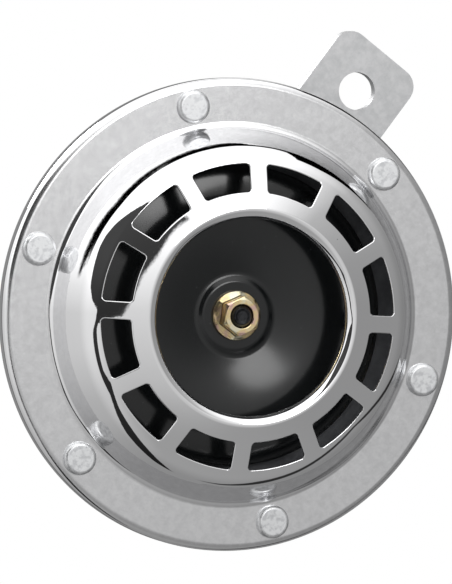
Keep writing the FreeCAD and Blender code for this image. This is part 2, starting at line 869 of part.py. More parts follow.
def armature():
    """Steel plunger with a wide head that rests on the diaphragm."""
    seat = armature_end - S["stud_head_height"]
    recess = S["stud_head_radius"] + S["hole_clearance"]
    corners = [
        (stud_hole, -armature_front),
        (S["armature_head_radius"], -armature_front),
        (S["armature_head_radius"], -armature_head_back),
        (S["plunger_radius"], -armature_head_back),
        (S["plunger_radius"], -armature_end),
        (recess, -armature_end),
        (recess, -seat),
        (stud_hole, -seat),
    ]
    return turned("armature", corners)


def pole_core():
    """Steel core of the magnet, with the rear stud that carries the whole horn."""
    end = bracket_nut_back + S["core_stud_past_nut"]
    corners = [
        (ZERO, -end),
        (S["core_stud_radius"] - S["stud_chamfer"], -end),
        (S["core_stud_radius"], -(end - S["stud_chamfer"])),
        (S["core_stud_radius"], -cup_floor),
        (S["core_radius"], -cup_floor),
        (S["core_radius"], -core_front),
        (ZERO, -core_front),
    ]
    return turned("pole_core", corners)


def yoke_plate():
    """Thick steel ring on the shelf, which closes the magnet around the plunger."""
    bore = S["plunger_radius"] + S["running_clearance"]
    body = ring("yoke_plate", bore, yoke_radius, yoke_front, shelf_front)
    cut_shelf_holes(body)
    leads = [around(lead_circle, S[name]) for name in ("lead_angle_1", "lead_angle_2")]
    drill(body, "lead_holes", leads, S["lead_hole_radius"])
    drill(body, "breaker_rivet_holes", breaker_rivet_places(), breaker_rivet_hole)
    return body


def yoke_rivets():
    """Three rivets that hold the yoke plate on the shelf."""
    height = S["yoke_rivet_head_height"]
    depths = (yoke_front - height, yoke_front, S["shelf_depth"], S["shelf_depth"] + height)
    head = S["yoke_rivet_head_radius"]
    return [
        rivet(
            f"yoke_rivet_{index + 1}",
            around(shelf_middle, angle),
            depths,
            (head, S["yoke_rivet_radius"], head),
        )
        for index, angle in enumerate(yoke_rivet_angles())
    ]


def coil_bobbin():
    """Moulded spool between the cup's floor and the yoke plate."""
    corners = [
        (bobbin_bore, -cup_floor),
        (bobbin_flange_radius, -cup_floor),
        (bobbin_flange_radius, -winding_back),
        (bobbin_tube, -winding_back),
        (bobbin_tube, -winding_front),
        (bobbin_flange_radius, -winding_front),
        (bobbin_flange_radius, -shelf_front),
        (bobbin_bore, -shelf_front),
    ]
    return turned("coil_bobbin", corners)


def coil_winding():
    """The whole winding as one ring of copper."""
    return ring("coil_winding", bobbin_tube, winding_radius, winding_front, winding_back)


def breaker_rivet_places():
    half = S["breaker_rivet_spacing"] / 2
    return [(breaker_middle, -half), (breaker_middle, half)]


def breaker_block(label, back_depth, height):
    """A flat insulating block in the clamped end of the breaker."""
    body = new_body(label)
    sketch = new_sketch(body, label + "_outline", "XY_Plane", -back_depth)
    draw_rectangle(sketch, breaker_middle, ZERO, S["breaker_length"], S["breaker_width"])
    pad(body, sketch, height)
    drill(body, "rivet_holes", breaker_rivet_places(), breaker_rivet_hole)
    return body


def contact_arm():
    """Spring leaf with a tongue under the armature's head and a solder tab."""
    body = new_body("contact_arm")
    half = S["breaker_width"] / 2
    tongue = S["arm_tongue_width"] / 2
    sketch = new_sketch(body, "contact_arm_outline", "XY_Plane", -arm_back)
    corners = [
        (arm_tip, -tongue),
        (breaker_inner, -tongue),
        (breaker_inner, -(half + S["arm_tab_length"])),
        (breaker_middle, -(half + S["arm_tab_length"])),
        (breaker_middle, -half),
        (breaker_outer, -half),
        (breaker_outer, half),
        (breaker_inner, half),
        (breaker_inner, tongue),
        (arm_tip, tongue),
    ]
    draw_outline(sketch, corners)
    pad(body, sketch, S["arm_sheet"])
    drill(body, "rivet_holes", breaker_rivet_places(), breaker_rivet_hole)
    shank = S["contact_shank_radius"]
    drill(body, "contact_hole", [(contact_place, ZERO)], shank)
    return body


def contact_bracket():
    """Stiff brass strip over the arm: the fixed contact inside, the adjusting screw's seat outside."""
    body = new_body("contact_bracket")
    half = S["breaker_width"] / 2
    tongue = S["arm_tongue_width"] / 2
    strip_tip = contact_place - S["contact_strip_end"]
    strip_end = shelf_middle + S["contact_strip_end"]
    sketch = new_sketch(body, "contact_bracket_outline", "XY_Plane", -contact_strip_back)
    corners = [
        (strip_tip, -tongue),
        (breaker_inner, -tongue),
        (breaker_inner, -half),
        (breaker_outer, -half),
        (breaker_outer, -tongue),
        (strip_end, -tongue),
        (strip_end, tongue),
        (breaker_outer, tongue),
        (breaker_outer, half),
        (breaker_inner, half),
        (breaker_inner, tongue),
        (strip_tip, tongue),
    ]
    draw_outline(sketch, corners)
    pad(body, sketch, S["contact_strip_sheet"])
    drill(body, "rivet_holes", breaker_rivet_places(), breaker_rivet_hole)
    drill(body, "contact_hole", [(contact_place, ZERO)], S["contact_shank_radius"])
    return body


def contact_rivets():
    """Two rivets that clamp the breaker's layers on the yoke plate."""
    height = S["breaker_rivet_head_height"]
    depths = (contact_strip_front - height, contact_strip_front, shelf_front, shelf_front + height)
    head = S["breaker_rivet_head_radius"]
    return [
        rivet(f"contact_rivet_{index + 1}", place, depths, (head, S["breaker_rivet_radius"], head))
        for index, place in enumerate(breaker_rivet_places())
    ]


def contacts():
    """The two contact points, each riveted into its strip, touching at rest."""
    place = (contact_place, ZERO)
    meeting = arm_front - S["contact_height"]
    radii = (S["contact_radius"], S["contact_shank_radius"], S["contact_tail_radius"])
    tail = S["contact_tail_height"]
    moving = rivet("moving_contact", place, (meeting, arm_front, arm_back, arm_back + tail), radii)
    back_to_front = (contact_strip_front - tail, contact_strip_front, contact_strip_back, meeting)
    fixed = rivet("fixed_contact", place, back_to_front, radii[::-1])
    return [moving, fixed]


def contact_pad():
    """Fibre pad on the arm's tip, which the armature's head pushes."""
    body = new_body("contact_pad")
    sketch = new_sketch(body, "contact_pad_outline", "XY_Plane", -arm_front)
    draw_rectangle(sketch, arm_tip + S["pad_length"] / 2, ZERO, S["pad_length"], S["pad_width"])
    pad(body, sketch, arm_front - armature_head_back - S["pad_gap"])
    return body


def adjusting_screw():
    """Slotted screw through shelf and yoke plate, whose tip bears on the contact bracket."""
    body = ring("adjusting_screw", ZERO, S["adjuster_radius"], contact_strip_back, adjuster_end)
    sketch = new_sketch(body, "adjusting_screw_slot", "XZ_Plane")
    half = S["adjuster_slot_width"] / 2
    corners = [
        (-half, -adjuster_end),
        (half, -adjuster_end),
        (half, S["adjuster_slot_depth"] - adjuster_end),
        (-half, S["adjuster_slot_depth"] - adjuster_end),
    ]
    draw_outline(sketch, corners)
    cut_through(body, sketch)
    place_off_axis(body, shelf_middle, ZERO)
    return body


def adjusting_locknut():
    """Small nut that locks the adjusting screw on the shelf."""
    low = -(S["shelf_depth"] + S["locknut_height"])
    bore = S["adjuster_radius"] + S["thread_clearance"]
    body = hex_nut("adjusting_locknut", S["locknut_across_flats"], low, -S["shelf_depth"], bore)
    place_off_axis(body, shelf_middle, ZERO)
    return body


def terminal_plate(label, back_depth, height):
    """Moulded insulating plate with two blade slots and a rivet hole."""
    body = new_body(label)
    sketch = new_sketch(body, label + "_outline", "XY_Plane", -back_depth)
    draw_rectangle(sketch, ZERO, -blade_place, S["block_width"], S["block_depth"])
    pad(body, sketch, height)
    slots = new_sketch(body, label + "_slots", "XY_Plane")
    fit = S["hole_clearance"]
    for side in (-1, 1):
        place = S["blade_spacing"] / 2 * side
        draw_rectangle(slots, place, -blade_place, S["blade_width"] + fit, S["blade_sheet"] + fit)
    cut_through(body, slots)
    drill(body, "rivet_hole", [(ZERO, -blade_place)], terminal_rivet_hole)
    return body


def upright_edges(body, low, high):
    """Names the straight edges that run between two heights."""
    names = []
    for index, edge in enumerate(body.Tip.Shape.Edges, start=1):
        heights = sorted(vertex.Z for vertex in edge.Vertexes)
        straight = isinstance(edge.Curve, Part.Line)
        spans = abs(heights[0] - low.number) + abs(heights[-1] - high.number) < TOLERANCE
        if straight and spans:
            names.append(f"Edge{index}")
    return names


def terminal_blade(label, side):
    """Flat tab terminal: blade to the rear, foot bent inwards on the insulator."""
    body = new_body(label)
    middle = S["blade_spacing"] / 2 * side
    tip = -(block_back + S["blade_reach"])
    front_face = -blade_place + S["blade_sheet"] / 2
    back_face = -blade_place - S["blade_sheet"] / 2
    sketch = new_sketch(body, label + "_section", "YZ_Plane", middle - S["blade_width"] / 2)
    corners = [
        (back_face, tip),
        (front_face, tip),
        (front_face, -insulator_front),
        (front_face + S["blade_foot_length"], -insulator_front),
        (front_face + S["blade_foot_length"], -foot_front),
        (back_face, -foot_front),
    ]
    draw_outline(sketch, corners)
    pad(body, sketch, S["blade_width"])
    taper = new_sketch(body, label + "_taper", "XZ_Plane")
    reach = S["blade_tip_taper"]
    for edge in (-1, 1):
        edge_x = middle + S["blade_width"] / 2 * edge
        draw_outline(taper, [(edge_x, tip), (edge_x, tip + reach), (edge_x - reach * edge, tip)])
    draw_circle(taper, middle, tip + S["blade_hole_from_tip"], S["blade_hole_radius"])
    cut_through(body, taper)
    return body


def terminal_rivet():
    """Rivet that holds block and insulator on shelf and yoke plate."""
    height = S["terminal_rivet_head_height"]
    depths = (insulator_front - height, insulator_front, block_back, block_back + height)
    head = S["terminal_rivet_head_radius"]
    return rivet("terminal_rivet", (ZERO, -blade_place), depths, (head, S["terminal_rivet_radius"], head))


def lead(label, points):
    """Enamelled wire along straight runs with a rounded bend at each corner."""
    path = [FreeCAD.Vector(*(value.number for value in point)) for point in points]
    bend = S["lead_bend"].number
    edges = []
    start = path[0]
    for before, corner, after in zip(path, path[1:], path[2:]):
        back = (before - corner).normalize()
        forward = (after - corner).normalize()
        half_turn = (math.pi - back.getAngle(forward)) / 2
        setback = bend * math.tan(half_turn)
        first = corner + back * setback
        last = corner + forward * setback
        bisector = (back + forward).normalize()
        middle = corner + bisector * (bend / math.cos(half_turn) - bend)
        edges.append(Part.LineSegment(start, first).toShape())
        edges.append(Part.Arc(first, middle, last).toShape())
        start = last
    edges.append(Part.LineSegment(start, path[-1]).toShape())
    wire = Part.Wire(edges)
    section = Part.Wire(
        [Part.Circle(path[0], path[1] - path[0], S["lead_radius"].number).toShape()]
    )
    solid = wire.makePipeShell([section], True, True)
    feature = doc.addObject("Part::Feature", label)
    feature.Label = label
    feature.Shape = solid
    feature.Placement = FreeCAD.Placement(
        FreeCAD.Vector(
            0,
            -strip_middle.number,
            -S["hole_to_axis"].number,
        ),
        FreeCAD.Rotation(FreeCAD.Vector(1, 0, 0), RIGHT_ANGLE),
    )
    return feature


def coil_leads():
    """Three wires: winding to first blade, winding to contact bracket, contact arm to second blade."""
    winding_depth = winding_front + S["lead_bend"] + S["lead_radius"]
    over_foot = foot_front - S["lead_radius"]
    over_bracket = contact_strip_front - S["lead_radius"]
    over_tab = arm_front - S["lead_radius"]
    foot_end = -blade_place + S["blade_foot_length"] - S["blade_sheet"]
    leads = []
    start = around(winding_radius, S["lead_angle_1"])
    rise = around(lead_circle, S["lead_angle_1"])
    leads.append(lead("coil_lead_1", [
        (start[0], start[1], -winding_depth),
        (rise[0], rise[1], -winding_depth),
        (rise[0], rise[1], -over_foot),
        (-S["blade_spacing"] / 2, foot_end, -over_foot),
    ]))
    start = around(winding_radius, S["lead_angle_2"])
    rise = around(lead_circle, S["lead_angle_2"])
    leads.append(lead("coil_lead_2", [
        (start[0], start[1], -winding_depth),
        (rise[0], rise[1], -winding_depth),
        (rise[0], rise[1], -over_bracket),
        (breaker_inner + S["lead_bend"] / 2, -(S["breaker_width"] - S["lead_bend"]) / 2, -over_bracket),
    ]))
    tab = (breaker_inner + S["lead_bend"], -(S["breaker_width"] / 2 + S["arm_tab_length"] / 2))
    leads.append(lead("coil_lead_3", [
        (tab[0], tab[1], -over_tab),
        (tab[0], tab[1] - lead_circle / 2, -over_tab),
        (S["blade_spacing"] / 2 + S["blade_width"], foot_end, -over_foot),
        (S["blade_spacing"] / 2, foot_end, -over_foot),
    ]))
    return leads


def mounting_bracket():
    """Flat steel strip from the core's stud up to the bolt hole."""
    body = new_body("mounting_bracket")
    half = S["strip_width"] / 2
    top = S["hole_to_axis"] + S["strip_past_hole"]
    sketch = new_sketch(body, "mounting_bracket_outline", "XY_Plane", -strip_back)
    draw_outline(sketch, [(-half, -half), (half, -half), (half, top), (-half, top)])
    pad(body, sketch, S["strip_sheet"])
    drill(body, "stud_hole", [(ZERO, ZERO)], core_stud_hole)
    drill(body, "bolt_hole", [(ZERO, S["hole_to_axis"])], S["bolt_hole_radius"])
    for y, radius in ((top, S["strip_corner"]), (-half, S["strip_end_corner"])):
        names = [
            name
            for name in upright_edges(body, -strip_back, -S["housing_depth"])
            if is_at(body, name, half.number, y.number)
        ]
        round_edges(body, names, radius)
    return body


def is_at(body, name, x, y):
    """Says whether an upright edge of the piece stands at the given height, x to either side."""
    vertex = body.Tip.Shape.getElement(name).Vertexes[0]
    return abs(abs(vertex.X) - x) < TOLERANCE and abs(vertex.Y - y) < TOLERANCE


def bracket_washer():
    """Split spring washer under the bracket's nut."""
    body = ring("bracket_washer", core_stud_hole, S["bracket_washer_radius"], strip_back, washer_back)
    sketch = new_sketch(body, "bracket_washer_split", "XY_Plane")
    half = S["bracket_washer_split"] / 2
    reach = S["bracket_washer_radius"] * 2
    draw_outline(sketch, [(ZERO, -half), (reach, -half), (reach, half), (ZERO, half)])
    cut_through(body, sketch)
    return body


def bracket_nut():
    """Nut on the core's rear stud."""
    bore = S["core_stud_radius"] + S["thread_clearance"]
    return hex_nut("bracket_nut", S["bracket_nut_across_flats"], -bracket_nut_back, -washer_back, bore)


def build():
    """Makes every piece of the horn."""
    pieces = [
        front_grille(),
        gasket("front_gasket", grille_back),
        diaphragm(),
        gasket("rear_gasket", diaphragm_back),
        rear_housing(),
        tone_disc(),
        tone_disc_nut(),
        ring("tone_disc_spacer", stud_hole, S["spacer_radius"], -hub_back, washer_front),
        ring("diaphragm_washer", stud_hole, S["clamp_washer_radius"], washer_front, diaphragm_front),
        ring("armature_washer", stud_hole, S["clamp_washer_radius"], diaphragm_back, armature_front),
        armature(),
        armature_stud(),
        pole_core(),
        yoke_plate(),
        coil_bobbin(),
        coil_winding(),
        breaker_block("contact_base", yoke_front, S["contact_base_height"]),
        contact_arm(),
        breaker_block("contact_spacer", arm_front, arm_front - contact_strip_back),
        contact_bracket(),
        contact_pad(),
        adjusting_screw(),
        adjusting_locknut(),
        terminal_plate("terminal_block", block_back, S["block_height"]),
        terminal_plate("terminal_insulator", yoke_front, S["insulator_sheet"]),
        terminal_blade("terminal_blade_1", -1),
        terminal_blade("terminal_blade_2", 1),
        terminal_rivet(),
        mounting_bracket(),
        bracket_washer(),
        bracket_nut(),
    ]
    pieces += flange_rivets()
    pieces += yoke_rivets()
    pieces += contact_rivets()
    pieces += contacts()
    pieces += coil_leads()
    return pieces


def check(pieces):
    """Stops the build if any object failed or any piece is not one sound solid."""
    doc.recompute()
    for item in doc.Objects:
        if "Invalid" in item.State or "Error" in item.State:
            raise RuntimeError(f"{item.Label} failed: {item.State}")
    for piece in pieces:
        shape = piece.Shape
        if shape.isNull() or not shape.isValid() or len(shape.Solids) != 1:
            raise RuntimeError(f"{piece.Label} is not one valid solid")


def export(pieces):
    """Writes one STEP file for each piece, named by its label."""
    os.makedirs(PARTS_FOLDER, exist_ok=True)
    for piece in pieces:
        piece.Shape.exportStep(os.path.join(PARTS_FOLDER, piece.Label + ".step"))
        print(f"{piece.Label}: {piece.Shape.Volume:.1f} mm3")


all_pieces = build()
check(all_pieces)
export(all_pieces)
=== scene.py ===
"""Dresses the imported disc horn: the plated grille and its finishes, the studio round it and the camera.

Lengths in the classes are millimetres in the horn's own frame: its axis is the horn's axis, z runs out of the
mouth from the flange's front face, and the mounting strip points along +y. ``Horn.place`` turns such a point
into the row frame, in metres.
"""

import json
import logging
import math
from dataclasses import dataclass, field
from enum import Enum
from typing import Any, Callable, Iterable, Sequence

import bpy
from mathutils import Matrix, Vector, kdtree

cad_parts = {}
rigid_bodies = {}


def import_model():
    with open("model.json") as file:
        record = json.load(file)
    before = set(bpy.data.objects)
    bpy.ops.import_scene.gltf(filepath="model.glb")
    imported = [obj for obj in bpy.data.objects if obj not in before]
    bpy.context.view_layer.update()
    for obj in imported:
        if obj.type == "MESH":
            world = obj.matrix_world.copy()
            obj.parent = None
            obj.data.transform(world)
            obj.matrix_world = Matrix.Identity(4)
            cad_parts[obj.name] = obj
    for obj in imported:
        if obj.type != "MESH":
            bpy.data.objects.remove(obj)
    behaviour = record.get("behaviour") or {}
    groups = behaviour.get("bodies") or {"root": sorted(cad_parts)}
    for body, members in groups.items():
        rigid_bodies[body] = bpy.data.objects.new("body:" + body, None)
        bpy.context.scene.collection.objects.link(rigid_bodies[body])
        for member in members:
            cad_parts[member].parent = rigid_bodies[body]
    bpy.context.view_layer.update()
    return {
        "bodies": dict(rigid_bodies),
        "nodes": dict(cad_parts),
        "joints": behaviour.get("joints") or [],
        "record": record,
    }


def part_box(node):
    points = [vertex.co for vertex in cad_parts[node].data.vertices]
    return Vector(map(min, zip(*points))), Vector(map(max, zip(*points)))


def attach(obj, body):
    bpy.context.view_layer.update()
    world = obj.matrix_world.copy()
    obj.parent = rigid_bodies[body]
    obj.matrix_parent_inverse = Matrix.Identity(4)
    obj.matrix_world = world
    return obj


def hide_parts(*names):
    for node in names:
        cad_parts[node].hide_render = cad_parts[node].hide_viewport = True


LOG = logging.getLogger("disc_horn")
MM = 0.001
# How a range runs out where its ends must not show
SOFTLY = {"interpolation_type": "SMOOTHSTEP"}

Pair = tuple[float, float]
Triple = tuple[float, float, float]
Span = tuple[float, float, float, float]
Colour = tuple[float, float, float, float]
Sample = tuple[Pair, Pair]
Tree = bpy.types.NodeTree
Node = bpy.types.Node
Socket = bpy.types.NodeSocket
Inputs = dict[Any, Any] | tuple[Any, ...]
Stops = Sequence[tuple[float, Colour]]


class Body(str, Enum):
    """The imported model's two bodies."""

    HORN = "horn"
    TONE_UNIT = "tone_unit"


class Kind(str, Enum):
    """The types of node in use, by Blender's own names."""

    COORDINATES = "ShaderNodeTexCoord"
    MAPPING = "ShaderNodeMapping"
    NOISE = "ShaderNodeTexNoise"
    CELLS = "ShaderNodeTexVoronoi"
    WAVE = "ShaderNodeTexWave"
    RANGE = "ShaderNodeMapRange"
    RAMP = "ShaderNodeValToRGB"
    MATH = "ShaderNodeMath"
    VECTOR = "ShaderNodeVectorMath"
    MIX = "ShaderNodeMix"
    AXES = "ShaderNodeSeparateXYZ"
    CHANNELS = "ShaderNodeSeparateColor"
    BUMP = "ShaderNodeBump"
    LIGHT_PATH = "ShaderNodeLightPath"
    PRINCIPLED = "ShaderNodeBsdfPrincipled"
    DIFFUSE = "ShaderNodeBsdfDiffuse"
    EMISSION = "ShaderNodeEmission"
    BACKGROUND = "ShaderNodeBackground"
    SHADER_MIX = "ShaderNodeMixShader"
    MATERIAL_OUTPUT = "ShaderNodeOutputMaterial"
    WORLD_OUTPUT = "ShaderNodeOutputWorld"


def linear(code: str) -> Colour:
    """Turns an sRGB hex colour into linear values.

    Args:
        code: Six hex digits after a hash sign.

    Returns:
        Linear red, green and blue, with an alpha of 1.
    """
    channels = []
    for start in (1, 3, 5):
        value = int(code[start : start + 2], 16) / 255.0
        channels.append(value / 12.92 if value <= 0.04045 else ((value + 0.055) / 1.055) ** 2.4)
    return channels[0], channels[1], channels[2], 1.0


def feed(tree: Tree, node: Node, inputs: Inputs) -> None:
    """Sets or links a node's inputs.

    Args:
        tree: The node tree that it is in.
        node: The node.
        inputs: What goes in, by name or number, or in order from the first input. A socket is linked, a node
            gives its first output, and anything else is a constant.
    """
    for key, value in inputs.items() if isinstance(inputs, dict) else enumerate(inputs):
        if isinstance(value, Node):
            value = value.outputs[0]
        if isinstance(value, Socket):
            tree.links.new(value, node.inputs[key])
        else:
            node.inputs[key].default_value = value


def add(tree: Tree, kind: Kind, inputs: Inputs = (), stops: Stops = (), **settings: Any) -> Node:
    """Adds one node with its settings, constants and links.

    Args:
        tree: The node tree that it goes in.
        kind: The type of node.
        inputs: What goes into it, as ``feed`` takes it.
        stops: Places and colours of a ramp; the first two take the places of its own ends.
        settings: The node's own properties.

    Returns:
        The new node.
    """
    node = tree.nodes.new(kind.value)
    for name, value in settings.items():
        setattr(node, name, value)
    for index, (place, colour) in enumerate(stops):
        band = node.color_ramp.elements
        stop = band[index] if index < 2 else band.new(place)
        stop.position = place
        stop.color = colour
    feed(tree, node, inputs)
    return node


def per_mm(size_mm: float) -> float:
    """Scale of a pattern whose feature is that many millimetres across, on coordinates in metres."""
    return 1.0 / (size_mm * MM)


@dataclass(frozen=True)
class Horn:
    """Where the horn's own frame lies in the row frame."""

    face_y: float = -36.9
    axis_z: float = -80.0
    photo_turn: float = 37.95

    def place(self, x: float, y: float, z: float) -> Vector:
        """Turns a point of the horn's frame, in millimetres, into the row frame, in metres."""
        return Vector((x * MM, (self.face_y - z) * MM, (self.axis_z + y) * MM))

    @staticmethod
    def aim(x: float, y: float, z: float) -> Vector:
        """Turns a direction of the horn's frame into the row frame."""
        return Vector((x, -z, y))


HORN = Horn()


# Finishes


@dataclass(frozen=True)
class Specks:
    """Round specks of one size and colour, scattered over a surface.

    Attributes:
        radius: Radius of a speck.
        gap: Mean distance between the places where one may lie.
        share: How many of those places have one.
        colour: sRGB hex of a speck.
    """

    radius: float
    gap: float
    share: float
    colour: str

    def over(self, tree: Tree, place: Socket, base: Socket) -> Socket:
        """Lays the specks over a colour.

        Args:
            tree: The material's node tree.
            place: Coordinates in metres.
            base: The colour between the specks.

        Returns:
            The speckled colour.
        """
        cells = add(tree, Kind.CELLS, {"Vector": place, "Scale": per_mm(self.gap)}).outputs
        chosen = add(tree, Kind.CHANNELS, (cells["Color"],))
        near = self.radius / self.gap
        spot = add(tree, Kind.RANGE, (cells["Distance"], near * 0.6, near, 1, 0), **SOFTLY)
        kept = add(tree, Kind.RANGE, (chosen, 0.98 - self.share, 1.02 - self.share, 0, 1), **SOFTLY)
        amount = add(tree, Kind.MATH, (spot, kept), operation="MULTIPLY")
        return add(tree, Kind.MIX, {0: amount, 6: base, 7: linear(self.colour)}, data_type="RGBA").outputs[2]


@dataclass(frozen=True)
class Finish:
    """What every finish shares: its real name, colour, shine and how it is built.

    Attributes:
        name: The material's name, after what it really is.
        colour: sRGB hex of its own colour.
        metallic: 1 for bare or plated metal.
        roughness: Blur of its reflections.
    """

    name: str
    colour: str
    metallic: float
    roughness: float

    def make(self) -> bpy.types.Material:
        """Builds the material.

        Returns:
            The finished material.
        """
        material = bpy.data.materials.new(self.name)
        material.use_nodes = True
        tree = material.node_tree
        tree.nodes.clear()
        even = {"Base Color": linear(self.colour), "Metallic": self.metallic, "Roughness": self.roughness}
        shader = add(tree, Kind.PRINCIPLED, even)
        add(tree, Kind.MATERIAL_OUTPUT, {"Surface": shader})
        feed(tree, shader, self.detail(tree, add(tree, Kind.COORDINATES).outputs["Object"]))
        material.diffuse_color = linear(self.colour)
        material.metallic = self.metallic
        material.roughness = self.roughness
        return material

    def detail(self, tree: Tree, place: Socket) -> dict[str, Any]:
        """Adds the surface's own pattern.

        Args:
            tree: The material's node tree.
            place: Coordinates in metres.

        Returns:
            The shader's inputs that the pattern drives; a plain finish has none.
        """
        return {}


@dataclass(frozen=True)
class ChromePlate(Finish):
    """Decorative chromium over nickel on a drawn steel pressing.

    The polished dome is a clean mirror with the faint roll of drawn sheet. The flange keeps the die's cloudy
    marks under the plating, so it is hazier and has small pits.

    Attributes:
        flange_inner: Radius where the flange starts.
        flange_outer: Radius where its edge bends down.
        haze: Roughness that the flange adds.
        dull: sRGB hex of the flange's darker clouds.
        dull_light: sRGB hex of its lighter ones.
        pits: The plating's pits.
    """

    flange_inner: float = 54.2
    flange_outer: float = 65.6
    haze: float = 0.22
    dull: str = "#D0D0D1"
    dull_light: str = "#DCDCDD"
    # Dust and plating pits are 0.1 mm across, drawn at 0.3 mm so that a few show
    pits: Specks = Specks(radius=0.16, gap=6.5, share=0.36, colour="#4A4A4A")

    def detail(self, tree: Tree, place: Socket) -> dict[str, Any]:
        """Hazes the flange, rolls the dome gently and pits the plating.

        Args:
            tree: The material's node tree.
            place: Coordinates in metres.

        Returns:
            The shader's inputs that the pattern drives.
        """
        offset = add(tree, Kind.VECTOR, (place, HORN.place(0, 0, 0)), operation="SUBTRACT")
        axes = add(tree, Kind.AXES, (offset,)).outputs
        across = add(tree, Kind.MATH, (axes["X"], axes["X"]), operation="MULTIPLY")
        upward = add(tree, Kind.MATH, (axes["Z"], axes["Z"]), operation="MULTIPLY")
        square = add(tree, Kind.MATH, (across, upward), operation="ADD")
        radius = add(tree, Kind.MATH, (square,), operation="SQRT")
        near, far = self.flange_inner, self.flange_outer
        inner = add(tree, Kind.RANGE, (radius, (near - 1) * MM, (near + 0.6) * MM, 0, 1), **SOFTLY)
        outer = add(tree, Kind.RANGE, (radius, far * MM, (far + 1) * MM, 1, 0), **SOFTLY)
        flange = add(tree, Kind.MATH, (inner, outer), operation="MULTIPLY")
        clouds = add(tree, Kind.NOISE, {"Vector": place, "Scale": per_mm(1.8), "Detail": 5, "Roughness": 0.7})
        marks = add(tree, Kind.NOISE, {"Vector": place, "Scale": per_mm(2.2), "Detail": 4, "Roughness": 0.6})
        hazy = add(tree, Kind.RANGE, (clouds, 0.3, 0.7, self.haze * 0.95, self.haze * 1.05), **SOFTLY)
        hazy = add(tree, Kind.MATH, (flange, hazy), operation="MULTIPLY")
        polished = add(tree, Kind.RANGE, (marks, 0.3, 0.7, 0.02, 0.04), **SOFTLY)
        rough = add(tree, Kind.MATH, (hazy, polished), operation="ADD")
        cloudy = add(tree, Kind.RANGE, (clouds, 0.25, 0.75, 0, 1), **SOFTLY)
        bright, dull, light = linear(self.colour), linear(self.dull), linear(self.dull_light)
        clouded = add(tree, Kind.MIX, {0: cloudy, 6: dull, 7: light}, data_type="RGBA").outputs[2]
        plated = add(tree, Kind.MIX, {0: flange, 6: bright, 7: clouded}, data_type="RGBA").outputs[2]
        # Sheet drawn over a die rolls in waves of about 12 mm, a few hundredths of a millimetre high
        waves = add(tree, Kind.NOISE, {"Vector": place, "Scale": per_mm(12), "Detail": 2, "Roughness": 0.45})
        roll = add(tree, Kind.BUMP, {"Height": waves, "Distance": 0.12 * MM, "Strength": 0.3})
        # The orange peel of the polished plate is 1 mm across and hardly shows
        grain = add(tree, Kind.NOISE, {"Vector": place, "Scale": per_mm(1.1), "Detail": 2, "Roughness": 0.5})
        lift = {"Height": grain, "Distance": 0.012 * MM, "Strength": 0.25, "Normal": roll}
        speckled = self.pits.over(tree, place, plated)
        return {"Roughness": rough, "Base Color": speckled, "Normal": add(tree, Kind.BUMP, lift)}


@dataclass(frozen=True)
class FormedSteel(Finish):
    """Steel rivet upset cold by a press: bright, with the tool's dull dents on its head.

    Attributes:
        bruise: sRGB hex of the dents.
    """

    bruise: str = "#CDCED0"

    def detail(self, tree: Tree, place: Socket) -> dict[str, Any]:
        """Dents the head and clouds its shine.

        Args:
            tree: The material's node tree.
            place: Coordinates in metres.

        Returns:
            The shader's inputs that the pattern drives.
        """
        dents = add(tree, Kind.NOISE, {"Vector": place, "Scale": per_mm(1.6), "Detail": 3, "Roughness": 0.6})
        fine = add(tree, Kind.NOISE, {"Vector": place, "Scale": per_mm(0.5), "Detail": 2, "Roughness": 0.5})
        low, high = self.roughness * 0.85, self.roughness * 1.15
        rough = add(tree, Kind.RANGE, (dents, 0.3, 0.7, low, high), **SOFTLY)
        marked = add(tree, Kind.RANGE, (dents, 0.36, 0.56, 0, 1), **SOFTLY)
        bruise, bright = linear(self.bruise), linear(self.colour)
        head = add(tree, Kind.MIX, {0: marked, 6: bruise, 7: bright}, data_type="RGBA").outputs[2]
        dent = add(tree, Kind.BUMP, {"Height": dents, "Distance": 0.06 * MM, "Strength": 0.35})
        skin = add(tree, Kind.BUMP, {"Height": fine, "Distance": 0.01 * MM, "Strength": 0.3, "Normal": dent})
        return {"Roughness": rough, "Base Color": head, "Normal": skin}


